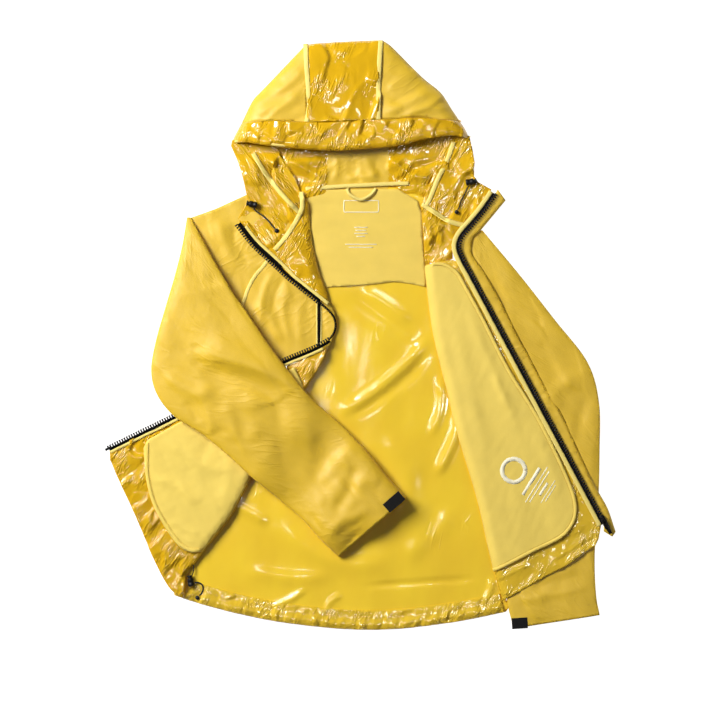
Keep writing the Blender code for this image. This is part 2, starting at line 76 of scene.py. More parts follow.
# The bodies that the large cloths ride on or lie across.
ROOT, FRONT, CROWN, FOREARM = "jacket_body", "left_front", "hood_crown", "right_forearm"


# ---------------------------------------------------------------------------------------------------------
# Paths and outlines
# ---------------------------------------------------------------------------------------------------------


def smooth(points, steps=4):
    """Points along a Catmull-Rom curve through the given ones, ends included."""
    line = np.array(points, float)
    padded = np.vstack([2 * line[0] - line[1], line, 2 * line[-1] - line[-2]])
    found = []
    for a, b, c, d in zip(padded, padded[1:], padded[2:], padded[3:]):
        for t in np.arange(steps) / steps:
            found.append(
                0.5
                * (
                    2 * b
                    + (c - a) * t
                    + (2 * a - 5 * b + 4 * c - d) * t**2
                    + (3 * b - a - 3 * c + d) * t**3
                )
            )
    return np.vstack([*found, line[-1]])


def resample(points, spacing):
    """The same path with its points a spacing apart, corners kept only nearly."""
    line = np.array(points, float)
    lengths = np.linalg.norm(np.diff(line, axis=0), axis=1)
    along = np.concatenate([[0], np.cumsum(lengths)])
    count = max(int(round(along[-1] / spacing)), 1)
    wanted = np.linspace(0, along[-1], count + 1)
    return np.stack([np.interp(wanted, along, line[:, i]) for i in range(line.shape[1])], axis=1)


def subdivide_ring(points, spacing):
    """An outline with points added on its long sides, so that its corners stay."""
    ring = [np.array(p, float) for p in points]
    found = []
    for a, b in zip(ring, ring[1:] + ring[:1]):
        length = np.linalg.norm(b - a)
        if length < 0.2 * spacing:
            continue
        count = max(int(round(length / spacing)), 1)
        found += [a + (b - a) * i / count for i in range(count)]
    return np.array(found)


def beside(path, distance):
    """The path moved sideways in the plane, to its left as it runs."""
    line = np.array(path, float)[:, :2]
    along = np.gradient(line, axis=0)
    along /= np.linalg.norm(along, axis=1)[:, None] + 1e-9
    return line + np.stack([-along[:, 1], along[:, 0]], axis=1) * distance


def band(path, left, right):
    """The outline of a strip along a path, reaching left and right of it."""
    return np.vstack([beside(path, left), beside(path, -right)[::-1]])


def inside(points, ring):
    """Which points lie inside a closed outline."""
    x, y = points[:, 0], points[:, 1]
    found = np.zeros(len(points), bool)
    for (ax, ay), (bx, by) in zip(ring, np.roll(ring, -1, axis=0)):
        crosses = (ay > y) != (by > y)
        with np.errstate(divide="ignore", invalid="ignore"):
            found ^= crosses & (x < (bx - ax) * (y - ay) / (by - ay) + ax)
    return found


def near_path(points, path):
    """Each point's distance to a path, its share of the way along it, and which side it is on."""
    line = np.array(path, float)[:, :2]
    lengths = np.linalg.norm(np.diff(line, axis=0), axis=1)
    starts = np.concatenate([[0], np.cumsum(lengths)])
    best = np.full(len(points), 1e9)
    share, side = np.zeros(len(points)), np.ones(len(points))
    for i, (a, b) in enumerate(zip(line, line[1:])):
        run = b - a
        t = np.clip(((points - a) @ run) / (run @ run + 1e-12), 0, 1)
        gap = points - (a + t[:, None] * run)
        distance = np.linalg.norm(gap, axis=1)
        closer = distance < best
        best = np.where(closer, distance, best)
        share = np.where(closer, (starts[i] + t * lengths[i]) / starts[-1], share)
        side = np.where(closer, np.sign(run[0] * gap[:, 1] - run[1] * gap[:, 0]), side)
    return best, share, side


# ---------------------------------------------------------------------------------------------------------
# Heights: drape, folds and crumple
# ---------------------------------------------------------------------------------------------------------


def lattice_noise(points, seed):
    """Smooth noise, about -1 to 1, over the plane. One lattice cell is a unit."""
    cell = np.floor(points).astype(np.int64)
    part = points - cell
    fade = part**3 * (part * (part * 6 - 15) + 10)

    def corner(dx, dy):
        mixed = (
            (cell[:, 0] + dx) * 374761393 + (cell[:, 1] + dy) * 668265263 + seed * 974634777
        ) & 0xFFFFFFFF
        mixed = ((mixed ^ (mixed >> 13)) * 1274126177) & 0xFFFFFFFF
        angle = (mixed ^ (mixed >> 16)) / 2**32 * 2 * math.pi
        return np.cos(angle) * (part[:, 0] - dx) + np.sin(angle) * (part[:, 1] - dy)

    low = corner(0, 0) * (1 - fade[:, 0]) + corner(1, 0) * fade[:, 0]
    high = corner(0, 1) * (1 - fade[:, 0]) + corner(1, 1) * fade[:, 0]
    return 1.5 * (low * (1 - fade[:, 1]) + high * fade[:, 1])


def turned(points, degrees):
    c, s = math.cos(math.radians(degrees)), math.sin(math.radians(degrees))
    return points @ np.array([[c, s], [-s, c]]).T


def drape(points, across, along, direction, depth, seed):
    """Long soft waves: across their run, along it, and the direction that they run in, in degrees."""
    run = turned(points, direction) / (along, across)
    return depth * (lattice_noise(run, seed) + 0.4 * lattice_noise(run * 2.1 + 7.3, seed + 1))


def crumple(points, size, depth, seed, along=1.0, direction=0.0):
    """Creased film: sharp ridges between slack facets."""
    run = turned(points, direction) / (size * along, size)
    swerve = [lattice_noise(run * 0.8 + 3.1, seed + 11), lattice_noise(run * 0.8 - 5.7, seed + 12)]
    run = run + 0.45 * np.stack(swerve, 1)
    total, weight = np.zeros(len(points)), 1.0
    for octave in range(CRUMPLE_OCTAVES):
        total += weight * (0.55 - np.abs(lattice_noise(run, seed + octave)))
        run = turned(run, 37) * 1.9
        weight *= 0.5
    return depth * total


def facets(points, size, tilt, seed, along=1.0, direction=0.0):
    """Crumpled film: nearly flat facets that tilt every way, with a crease between each and the next."""
    run = turned(points, direction) / (size * along, size)
    swerve = [lattice_noise(run * 0.7 + 2.2, seed + 31), lattice_noise(run * 0.7 - 4.1, seed + 32)]
    run = run + 0.35 * np.stack(swerve, 1)
    cell = np.floor(run).astype(np.int64)
    total, weights = np.zeros(len(run)), np.zeros(len(run))
    for dx in (-1, 0, 1):
        for dy in (-1, 0, 1):
            own = cell + (dx, dy)
            draws = []
            for part in range(5):
                mixed = (
                    own[:, 0] * 73856093 + own[:, 1] * 19349663 + (seed * 5 + part) * 83492791
                ) & 0xFFFFFFFF
                mixed = ((mixed ^ (mixed >> 15)) * 2246822519) & 0xFFFFFFFF
                mixed = ((mixed ^ (mixed >> 13)) * 3266489917) & 0xFFFFFFFF
                draws.append((mixed ^ (mixed >> 16)) / 2**32)
            gap = run - (own + 0.15 + 0.7 * np.stack(draws[:2], 1))
            weight = np.exp(-FACET_SHARPNESS * (gap**2).sum(1))
            angle, steep = 2 * math.pi * draws[2], tilt * size * draws[3] ** 0.9
            plane = steep * (np.cos(angle) * gap[:, 0] + np.sin(angle) * gap[:, 1])
            total += weight * (plane + (draws[4] - 0.5) * tilt * size * 0.35)
            weights += weight
    return total / (weights + 1e-12)


def fold(points, path, width, height, skew=0.0):
    """A raised fold, or with a negative height a valley, along a path. A skew makes one flank steeper."""
    distance, share, side = near_path(points, path)
    reach = width * (1 + skew * side)
    fade = np.clip(np.minimum(share, 1 - share) / FOLD_FADE, 0, 1)
    fade = fade * fade * (3 - 2 * fade)
    return height * fade * np.exp(-((distance / reach) ** 2))


def folds(points, placed):
    """All placed folds: each is (path, width, height) with a skew or nothing after it."""
    return sum((fold(points, smooth(path, 6), *rest) for path, *rest in placed), np.zeros(len(points)))


def calm(points, path, reach):
    """0 on a path, rising to 1 a reach away from it."""
    distance, _, _ = near_path(points, path)
    t = np.clip(distance / reach, 0, 1)
    return t * t * (3 - 2 * t)


def highest(height):
    """A height that clears the given one all round each point."""
    steps = [(0, 0), (TAPE_ROOM, 0), (-TAPE_ROOM, 0), (0, TAPE_ROOM), (0, -TAPE_ROOM)]
    return lambda p: np.max([height(p + np.array(step)) for step in steps], axis=0)


# ---------------------------------------------------------------------------------------------------------
# Meshes
# ---------------------------------------------------------------------------------------------------------


def add_object(name, mesh):
    made = bpy.data.objects.new(name, mesh)
    bpy.context.scene.collection.objects.link(made)
    return made


def bake_modifiers(obj):
    """The object's evaluated mesh in place of its modifiers."""
    bpy.context.view_layer.update()
    graph = bpy.context.evaluated_depsgraph_get()
    mesh = bpy.data.meshes.new_from_object(obj.evaluated_get(graph), depsgraph=graph)
    mesh.name = obj.name
    if obj.type == "MESH":
        obj.modifiers.clear()
        obj.data = mesh
        return obj
    name = obj.name
    bpy.data.objects.remove(obj)
    return add_object(name, mesh)


def mesh_object(name, vertices, faces, materials, flat=None):
    """A mesh from millimetre vertices. flat gives each vertex's place on the flat cloth, in millimetres."""
    mesh = bpy.data.meshes.new(name)
    mesh.from_pydata((np.asarray(vertices) * MM).tolist(), [], [list(map(int, f)) for f in faces])
    for material in materials:
        mesh.materials.append(material)
    if flat is not None:
        layer = mesh.uv_layers.new(name="UVMap")
        corners = np.empty(len(mesh.loops), np.int32)
        mesh.loops.foreach_get("vertex_index", corners)
        layer.data.foreach_set("uv", (np.asarray(flat)[corners] * MM).astype(np.float32).ravel())
    mesh.shade_smooth()
    mesh.update()
    return add_object(name, mesh)


def joined(name, objects):
    """Several objects as one."""
    bm = bmesh.new()
    materials = []
    for obj in objects:
        start = len(bm.faces)
        bm.from_mesh(obj.data)
        bm.faces.ensure_lookup_table()
        slots = []
        for material in obj.data.materials:
            if material not in materials:
                materials.append(material)
            slots.append(materials.index(material))
        for face in bm.faces[start:]:
            face.material_index = slots[face.material_index]
        bpy.data.objects.remove(obj)
    mesh = bpy.data.meshes.new(name)
    bm.to_mesh(mesh)
    bm.free()
    for material in materials:
        mesh.materials.append(material)
    return add_object(name, mesh)


def thicken(obj, thickness):
    """Gives a cloth surface its thickness, downwards, with its second material underneath."""
    solid = obj.modifiers.new("Thickness", "SOLIDIFY")
    solid.thickness = thickness * MM
    solid.offset = -1
    solid.material_offset = 1 if len(obj.data.materials) > 1 else 0
    solid.material_offset_rim = 0
    return bake_modifiers(obj)


def thicken_under(obj, thickness, underside):
    """Thickens a painted cloth, with one material number for its whole underside."""
    count = len(obj.data.polygons)
    made = thicken(obj, thickness)
    for polygon in made.data.polygons[count:]:
        polygon.material_index = underside
    return made


def triangles_inside(ring, spacing):
    """Points and triangles that fill an outline, about a spacing apart."""
    edge = subdivide_ring(ring, spacing)
    low, high = edge.min(0), edge.max(0)
    rows = np.arange(low[1], high[1], spacing * math.sqrt(3) / 2)
    starts = [low[0] + (i % 2) * spacing / 2 for i in range(len(rows))]
    across = [np.arange(start, high[0], spacing) for start in starts]
    grid = np.concatenate([np.column_stack([x, np.full(len(x), y)]) for x, y in zip(across, rows)])
    grid = grid[inside(grid, edge)]
    keep = np.ones(len(grid), bool)
    for start in range(0, len(grid), 4000):
        part = grid[start : start + 4000]
        gaps = ((part[:, None, :] - edge[None]) ** 2).sum(2).min(1)
        keep[start : start + 4000] = gaps > (0.6 * spacing) ** 2
    points = np.vstack([edge, grid[keep]])
    count = len(edge)
    rim = [(i, (i + 1) % count) for i in range(count)]
    found = delaunay_2d_cdt([Vector(p) for p in points], rim, [], 1, 1e-4)
    vertices = np.array([tuple(v) for v in found[0]])
    faces = np.array(found[2])
    a, b, c = (vertices[faces[:, i]] for i in range(3))
    area = (b - a)[:, 0] * (c - a)[:, 1] - (b - a)[:, 1] * (c - a)[:, 0]
    faces[area < 0] = faces[area < 0][:, ::-1]
    return vertices, faces


def panel(name, ring, height, spacing, materials, thickness=0.7, paint=None):
    """A cloth panel inside an outline. height and paint take plane points: paint gives material numbers."""
    points, faces = triangles_inside(np.array(ring, float), spacing)
    made = mesh_object(name, np.column_stack([points, height(points)]), faces, materials, flat=points)
    if paint is not None:
        middles = points[faces].mean(1)
        made.data.polygons.foreach_set("material_index", paint(middles).astype(np.int32))
    return thicken(made, thickness) if thickness else made


def ribbon(name, path, width, height, materials, rise=0.35, thickness=0.3, across=4):
    """A narrow strip along a path, lying on a height: a bonded tape, a binding or a zip tape."""
    line = resample(path, 2.5)
    shares = np.linspace(-0.5, 0.5, across + 1)
    rows = np.stack([beside(line, width * share) for share in shares], axis=1)
    points = rows.reshape(-1, 2)
    crown = np.tile(1 - (2 * shares) ** 4, len(line))
    z = height(points) + rise * crown
    lengths = np.concatenate([[0], np.cumsum(np.linalg.norm(np.diff(line, axis=0), axis=1))])
    flat = np.column_stack([np.repeat(lengths, across + 1), np.tile(shares * width, len(line))])
    columns = across + 1
    faces = [
        (i * columns + j, (i + 1) * columns + j, (i + 1) * columns + j + 1, i * columns + j + 1)
        for i in range(len(line) - 1)
        for j in range(across)
    ]
    made = mesh_object(name, np.column_stack([points, z]), faces, materials, flat=flat)
    return thicken(made, thickness) if thickness else made


def loft(name, lefts, rights, bottom, top, relief, materials, lean=None, edge_height=0.45):
    """A flattened cloth tube between two side lines, such as a sleeve laid flat.

    bottom and top are its heights along its run. relief adds to its upper side over plane points, and lean
    gives how far its lower and upper sides drop.
    """
    lefts, rights = smooth(lefts, 8), smooth(rights, 8)
    middle = (lefts + rights) / 2
    steps = np.concatenate([[0], np.cumsum(np.linalg.norm(np.diff(middle, axis=0), axis=1))])
    rows = int(steps[-1] / LOFT_SPACING)
    wanted = np.linspace(0, steps[-1], rows + 1)
    lefts = np.stack([np.interp(wanted, steps, lefts[:, i]) for i in (0, 1)], 1)
    rights = np.stack([np.interp(wanted, steps, rights[:, i]) for i in (0, 1)], 1)
    widest = np.linalg.norm(rights - lefts, axis=1).max()
    half = int(widest / LOFT_SPACING)
    share = wanted / wanted[-1]
    low, high = np.interp(share, *bottom), np.interp(share, *top)
    angles = np.linspace(0, 2 * math.pi, 2 * half + 1)[:-1]
    vertices, flat = [], []
    for i in range(rows + 1):
        across = 0.5 - 0.5 * np.sign(np.cos(angles)) * np.abs(np.cos(angles)) ** 0.72
        swell = np.sin(angles)
        swell = np.sign(swell) * np.abs(swell) ** 0.55
        places = lefts[i] + across[:, None] * (rights[i] - lefts[i])
        middle_z = low[i] + edge_height * (high[i] - low[i])
        reach = np.where(swell > 0, high[i] - middle_z, middle_z - low[i])
        z = middle_z + swell * reach
        z = z + np.where(swell > 0, relief(places) * np.clip(swell, 0, 1) ** 1.5, 0)
        if lean is not None:
            under, over = lean(places)
            z = z - under - (over - under) * np.clip(swell, 0, 1)
        vertices.append(np.column_stack([places, z]))
        round_it = across * widest + (swell < 0) * 1.3 * widest
        flat.append(np.column_stack([round_it, np.full(len(angles), wanted[i])]))
    vertices, flat = np.concatenate(vertices), np.concatenate(flat)
    count = len(angles)
    faces = [
        (i * count + j, i * count + (j + 1) % count, (i + 1) * count + (j + 1) % count, (i + 1) * count + j)
        for i in range(rows)
        for j in range(count)
    ]
    faces.append(tuple(range(count))[::-1])
    made = mesh_object(name, vertices, faces, materials, flat=flat)
    bm = bmesh.new()
    bm.from_mesh(made.data)
    bmesh.ops.recalc_face_normals(bm, faces=bm.faces)
    bm.to_mesh(made.data)
    bm.free()
    made.data.shade_smooth()
    return thicken(made, 0.8)


def lathe(name, profile, place, direction, material, sides=32):
    """A turned solid: profile pairs are (along, radius), and direction is the way that it points."""
    bm = bmesh.new()
    rings = []
    for along, radius in profile:
        if radius < 1e-6:
            rings.append([bm.verts.new((along * MM, 0, 0))] * sides)
            continue
        ring = []
        for i in range(sides):
            angle = 2 * math.pi * i / sides
            ring.append(
                bm.verts.new(Vector((along, radius * math.cos(angle), radius * math.sin(angle))) * MM)
            )
        rings.append(ring)
    pairs = list(zip(rings, rings[1:]))
    if profile[0][1] > 1e-6 and profile[-1][1] > 1e-6:
        pairs.append((rings[-1], rings[0]))
    for first, second in pairs:
        for i in range(sides):
            corners = [first[i], first[(i + 1) % sides], second[(i + 1) % sides], second[i]]
            bm.faces.new(list(dict.fromkeys(corners)))
    bmesh.ops.recalc_face_normals(bm, faces=bm.faces)
    turn = Vector((1, 0, 0)).rotation_difference(Vector(direction)).to_matrix().to_4x4()
    bmesh.ops.transform(bm, matrix=Matrix.Translation(Vector(place) * MM) @ turn, verts=bm.verts)
    mesh = bpy.data.meshes.new(name)
    bm.to_mesh(mesh)
    bm.free()
    mesh.materials.append(material)
    mesh.shade_smooth()
    made = add_object(name, mesh)
    mesh.set_sharp_from_angle(angle=math.radians(50))
    return made


def refined(name, node, material, bevel=0.25):
    """A frame node's copy with its flat faces whole again and its edges eased."""
    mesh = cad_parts[node].data.copy()
    bm = bmesh.new()
    bm.from_mesh(mesh)
    bmesh.ops.remove_doubles(bm, verts=bm.verts, dist=1e-6)
    bmesh.ops.dissolve_limit(bm, angle_limit=math.radians(1), verts=bm.verts, edges=bm.edges)
    bm.to_mesh(mesh)
    bm.free()
    mesh.materials.clear()
    mesh.materials.append(material)
    made = add_object(name, mesh)
    edge = made.modifiers.new("Eased edges", "BEVEL")
    edge.width, edge.segments, edge.limit_method = bevel * MM, 2, "ANGLE"
    edge.harden_normals = False
    made = bake_modifiers(made)
    made.data.shade_smooth()
    made.data.set_sharp_from_angle(angle=math.radians(40))
    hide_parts(node)
    return made


# ---------------------------------------------------------------------------------------------------------
# Geometry Nodes: what repeats along a path
# ---------------------------------------------------------------------------------------------------------


def repeat_tree(name):
    """Repeats a rounded block, with a smaller head on one side, along a curve."""
    tree = bpy.data.node_groups.new(name, "GeometryNodeTree")
    face = tree.interface
    face.new_socket("Geometry", in_out="INPUT", socket_type="NodeSocketGeometry")
    for label, kind in (
        ("Pitch", "NodeSocketFloat"),
        ("Block size", "NodeSocketVector"),
        ("Head size", "NodeSocketVector"),
        ("Head offset", "NodeSocketVector"),
        ("Scatter", "NodeSocketFloat"),
        ("Seed", "NodeSocketInt"),
        ("Material", "NodeSocketMaterial"),
    ):
        face.new_socket(label, in_out="INPUT", socket_type=kind)
    face.new_socket("Geometry", in_out="OUTPUT", socket_type="NodeSocketGeometry")
    nodes, links = tree.nodes, tree.links

    def node(kind, **inputs):
        made = nodes.new(kind)
        for key, value in inputs.items():
            socket = made.inputs[key.replace("_", " ")]
            if isinstance(value, bpy.types.NodeSocket):
                links.new(value, socket)
            else:
                socket.default_value = value
        return made

    given = nodes.new("NodeGroupInput").outputs
    spaced = nodes.new("GeometryNodeCurveToPoints")
    spaced.mode = "LENGTH"
    links.new(given["Geometry"], spaced.inputs["Curve"])
    links.new(given["Pitch"], spaced.inputs["Length"])
    turn = nodes.new("FunctionNodeAlignRotationToVector")
    turn.axis, turn.pivot_axis = "X", "Z"
    links.new(spaced.outputs["Tangent"], turn.inputs["Vector"])
    rounded = []
    for size in ("Block size", "Head size"):
        cube = node("GeometryNodeMeshCube", Size=given[size])
        soft = node("GeometryNodeSubdivisionSurface", Mesh=cube.outputs["Mesh"], Level=1, Edge_Crease=0.55)
        rounded.append(soft.outputs["Mesh"])
    head = node("GeometryNodeTransform", Geometry=rounded[1], Translation=given["Head offset"])
    tooth = nodes.new("GeometryNodeJoinGeometry")
    links.new(rounded[0], tooth.inputs[0])
    links.new(head.outputs[0], tooth.inputs[0])
    jitter = nodes.new("FunctionNodeRandomValue")
    jitter.data_type = "FLOAT"
    links.new(given["Seed"], jitter.inputs["Seed"])
    low = nodes.new("ShaderNodeMath")
    low.operation = "SUBTRACT"
    low.inputs[0].default_value = 1.0
    links.new(given["Scatter"], low.inputs[1])
    links.new(low.outputs[0], jitter.inputs[2])
    jitter.inputs[3].default_value = 1.0
    placed = nodes.new("GeometryNodeInstanceOnPoints")
    links.new(spaced.outputs["Points"], placed.inputs["Points"])
    links.new(tooth.outputs[0], placed.inputs["Instance"])
    links.new(turn.outputs["Rotation"], placed.inputs["Rotation"])
    links.new(jitter.outputs[1], placed.inputs["Scale"])
    real = node("GeometryNodeRealizeInstances", Geometry=placed.outputs["Instances"])
    painted = node("GeometryNodeSetMaterial", Geometry=real.outputs["Geometry"], Material=given["Material"])
    shaded = node("GeometryNodeSetShadeSmooth", Geometry=painted.outputs["Geometry"])
    links.new(shaded.outputs[0], nodes.new("NodeGroupOutput").inputs[0])
    return tree


def repeat(name, path, settings, material):
    """One plain mesh of blocks along millimetre points, from the repeat tree."""
    tree = bpy.data.node_groups.get("Repeat along a path") or repeat_tree("Repeat along a path")
    curve = bpy.data.curves.new(name, "CURVE")
    curve.dimensions = "3D"
    spline = curve.splines.new("POLY")
    spline.points.add(len(path) - 1)
    for point, place in zip(spline.points, path):
        point.co = (*(Vector(place) * MM), 1.0)
    carrier = add_object(name, curve)
    modifier = carrier.modifiers.new("Repeat", "NODES")
    modifier.node_group = tree
    sockets = {s.name: s.identifier for s in tree.interface.items_tree if s.in_out == "INPUT"}
    for label, value in {**settings, "Material": material}.items():
        modifier[sockets[label]] = value
    return bake_modifiers(carrier)


TEETH = {
    "Pitch": 4.3 * MM,
    "Block size": (2.8 * MM, 5.6 * MM, 2.6 * MM),
    "Head size": (3.5 * MM, 1.9 * MM, 1.9 * MM),
    "Head offset": (0.0, 2.3 * MM, 0.0),
    "Scatter": 0.0,
    "Seed": 1,
}
EDGE_TEETH = {
    **TEETH, "Pitch": 3.4 * MM, "Block size": (2.9 * MM, 1.8 * MM, 2.6 * MM),
    "Head offset": (0.0, 0.4 * MM, 0.0)
}
STITCHES = {
    "Pitch": 3.1 * MM,
    "Block size": (2.3 * MM, 0.55 * MM, 0.4 * MM),
    "Head size": (0.5 * MM, 0.5 * MM, 0.3 * MM),
    "Head offset": (0.0, 0.0, 0.0),
    "Scatter": 0.12,
    "Seed": 4,
}


def stitches(name, path, height, material, lift=0.15):
    line = resample(path, 3.0)
    return repeat(name, np.column_stack([line, height(line) + lift]), STITCHES, material)


# ---------------------------------------------------------------------------------------------------------
# Materials
# ---------------------------------------------------------------------------------------------------------


class Value:
    """A shader socket that takes part in Python expressions."""

    def __init__(self, finish, socket):
        self.finish, self.socket = finish, socket

    def math(self, operation, first, second=0.0):
        return self.finish.node("ShaderNodeMath", {"operation": operation}, {0: first, 1: second})

    def __add__(self, other):
        return self.math("ADD", self, other)

    def __sub__(self, other):
        return self.math("SUBTRACT", self, other)

    def __mul__(self, other):
        return self.math("MULTIPLY", self, other)

    def __rsub__(self, other):
        return self.math("SUBTRACT", other, self)

    def __pow__(self, other):
        return self.math("POWER", self, other)

    __radd__ = __add__
    __rmul__ = __mul__

    def abs(self):
        return self.math("ABSOLUTE", self)


class Finish:
    """One material under construction."""

    def __init__(self, name, roughness=0.5, metallic=0.0, **sockets):
        self.material = bpy.data.materials.new(name)
        self.material.use_nodes = True
        self.tree = self.material.node_tree
        self.shader = self.tree.nodes["Principled BSDF"]
        self.shader.inputs["Roughness"].default_value = roughness
        self.shader.inputs["Metallic"].default_value = metallic
        for label, value in sockets.items():
            self.shader.inputs[label.replace("_", " ")].default_value = value

    def node(self, kind, settings=None, inputs=None, output=0):
        made = self.tree.nodes.new(kind)
        for key, value in (settings or {}).items():
            if key == "stops":
                for element, (place, level) in zip(made.color_ramp.elements, value):
                    element.position, element.color = place, (level, level, level, 1)
            else:
                setattr(made, key, value)
        for key, value in (inputs or {}).items():
            if isinstance(value, Value):
                self.tree.links.new(value.socket, made.inputs[key])
            else:
                made.inputs[key].default_value = value
        return Value(self, made.outputs[output])

    def place(self, source="UV", stretch=(1, 1, 1), turn=0.0):
        """The surface's own coordinates, in metres, stretched and then turned in degrees."""
        plain = self.node("ShaderNodeTexCoord", output=source)
        inputs = {"Vector": plain, "Scale": stretch, "Rotation": (0, 0, math.radians(turn))}
        return self.node("ShaderNodeMapping", {"vector_type": "TEXTURE"}, inputs)

    def noise(self, place, size, detail=2.0, roughness=0.5, distortion=0.0):
        """Noise whose features are about this size, in millimetres."""
        inputs = {
            "Vector": place,
            "Scale": 1 / (size * MM),
            "Detail": detail,
            "Roughness": roughness,
            "Distortion": distortion,
        }
        return self.node("ShaderNodeTexNoise", inputs=inputs)

    def spread(self, value, low, high, to_low=0.0, to_high=1.0):
        """The value's range low to high made into another."""
        inputs = {0: value, 1: low, 2: high, 3: to_low, 4: to_high}
        return self.node("ShaderNodeMapRange", inputs=inputs)

    def mix(self, factor, first, second):
        inputs = {0: factor, 6: first, 7: second}
        return self.node("ShaderNodeMix", {"data_type": "RGBA"}, inputs, output=2)

    def weave(self, place, pitch):
        """Threads over and under, at this pitch in millimetres."""
        across = self.node(
            "ShaderNodeTexWave",
            {"wave_type": "BANDS", "bands_direction": "X"},
            {"Vector": place, "Scale": 0.314 / (pitch * MM), "Distortion": 0.6, "Detail": 1.0},
            output=1,
        )
        along = self.node(
            "ShaderNodeTexWave",
            {"wave_type": "BANDS", "bands_direction": "Y"},
            {"Vector": place, "Scale": 0.314 / (pitch * MM), "Distortion": 0.6, "Detail": 1.0},
            output=1,
        )
        return across * along

    def bump(self, height, distance, strength=1.0, under=None):
        """A relief of this depth, in millimetres, over another one if given."""
        inputs = {"Height": height, "Distance": distance * MM, "Strength": strength}
        if under is not None:
            inputs["Normal"] = under
        return self.node("ShaderNodeBump", inputs=inputs)

    def set(self, **links):
        for label, value in links.items():
            socket = self.shader.inputs[label.replace("_", " ")]
            if isinstance(value, Value):
                self.tree.links.new(value.socket, socket)
            else:
                socket.default_value = value
        return self.material


def shade(colour, factor):
    """The colour made darker or lighter."""
    return (*(min(c * factor, 1.0) for c in colour[:3]), 1.0)


def shell_finish(name, colour):
    """Matte coated cloth: a fine weave under a dull face, with soft creases and colour drift."""
    finish = Finish(name, roughness=0.55, Sheen_Weight=0.12, Sheen_Roughness=0.4, Specular_IOR_Level=0.56)
    place = finish.place()
    drawn = finish.place(stretch=(3.4, 1, 1), turn=35)
    threads = finish.noise(drawn, 15, detail=1.5, roughness=0.5, distortion=0.5)
    patch = finish.spread(finish.noise(place, 75, detail=1), 0.46, 0.62)
    lines = (1 - (threads * 2 - 1).abs() * 2.6) ** 2 * patch
    drift = finish.noise(place, 55, detail=3)
    grain = finish.noise(place, 1.4, detail=2)
    tint = finish.mix(finish.spread(drift, 0.3, 0.7), shade(colour, 0.93), shade(colour, 1.06))
    tint = finish.mix(finish.spread(grain, 0.35, 0.65, 0.0, 0.35), tint, shade(colour, 0.86))
    rough = finish.spread(finish.noise(place, 18), 0.3, 0.7, 0.47, 0.6)
    creased = finish.bump(lines, 0.55, 0.8)
    soft = finish.bump(finish.noise(place, 14, detail=3, roughness=0.55), 0.9, 0.4, under=creased)
    normal = finish.bump(finish.weave(place, 0.9) + grain * 0.5, 0.12, 0.5, under=soft)
    return finish.set(Base_Color=tint, Roughness=rough, Normal=normal)


def film_finish(name, colour, slack, creases, turn=0.0, roughness=0.11, cover=0.5):
    """Glossy waterproof film over cloth: slack waves under long thin creases, and a clear hard shine. Its
    colour is painted lighter along the crease ridges as a highlight and darker beside them as shade.

    slack and creases are each (size, depth) in millimetres, and turn is the way that the creases run.
    """
    finish = Finish(name, roughness=roughness, Coat_Roughness=0.04, Specular_IOR_Level=0.9, Coat_Weight=0.12)
    wide = finish.place(stretch=(1.6, 1, 1), turn=turn)
    drawn = finish.place(stretch=(4.2, 1, 1), turn=turn)
    waves = finish.noise(wide, slack[0], detail=1, distortion=0.7)
    threads = finish.noise(drawn, creases[0], detail=1.5, roughness=0.5, distortion=0.6)
    patch = finish.spread(finish.noise(wide, creases[0] * 5, detail=1), cover, cover + 0.12)
    lines = (1 - (threads * 2 - 1).abs() * 3.4) ** 2 * patch
    drift = finish.noise(wide, 60, detail=3)
    tint = finish.mix(finish.spread(drift, 0.3, 0.7), shade(colour, 0.92), shade(colour, 1.06))
    # Painted highlight: the colour is lighter along the crease ridges.
    tint = finish.mix(finish.spread(lines, 0.2, 1.0, 0.0, 0.35), tint, shade(colour, 1.2))
    # Painted shade: the colour is darker in the hollows beside the creases, within the creased patches.
    tint = finish.mix(finish.spread(threads, 0.3, 0.42, 0.3, 0.0) * patch, tint, shade(colour, 0.62))
    rough = finish.spread(finish.noise(wide, 12), 0.3, 0.7, roughness * 0.7, roughness * 1.4)
    base = finish.bump(waves, slack[1], 1.0)
    normal = finish.bump(lines, creases[1], 1.0, under=base)
    return finish.set(Base_Color=tint, Roughness=rough, Normal=normal)


def lining_finish(name, colour, roughness=0.7, pitch=0.7, shine=0.25):
    """Pale matte cloth with a close weave."""
    finish = Finish(name, roughness=roughness, Sheen_Weight=0.3 * shine, Specular_IOR_Level=shine)
    place = finish.place()
    drift = finish.noise(place, 40, detail=3)
    tint = finish.mix(finish.spread(drift, 0.3, 0.7), shade(colour, 0.95), shade(colour, 1.03))
    speck = finish.noise(place, 1.1)
    tint = finish.mix(finish.spread(speck, 0.4, 0.7, 0.0, 0.25), tint, shade(colour, 0.9))
    rough = finish.spread(finish.noise(place, 15), 0.3, 0.7, roughness - 0.08, roughness + 0.08)
    soft = finish.bump(finish.noise(place, 11, detail=3), 0.7, 0.35)
    normal = finish.bump(finish.weave(place, pitch), 0.1, 0.5, under=soft)
    return finish.set(Base_Color=tint, Roughness=rough, Normal=normal)


def plastic_finish(name, colour, roughness, metallic=0.0):
    """Moulded or painted black, slightly mottled and worn paler on its grain."""
    finish = Finish(name, roughness=roughness, metallic=metallic, Specular_IOR_Level=0.28)
    grain = 0.6
    place = finish.place("Object")
    speck = finish.noise(place, grain, detail=3)
    tint = finish.mix(finish.spread(speck, 0.4, 0.75), colour, shade(colour, 2.2))
    rough = finish.spread(finish.noise(place, grain * 6), 0.3, 0.7, roughness * 0.8, roughness * 1.25)
    return finish.set(Base_Color=tint, Roughness=rough, Normal=finish.bump(speck, 0.05, 0.6))


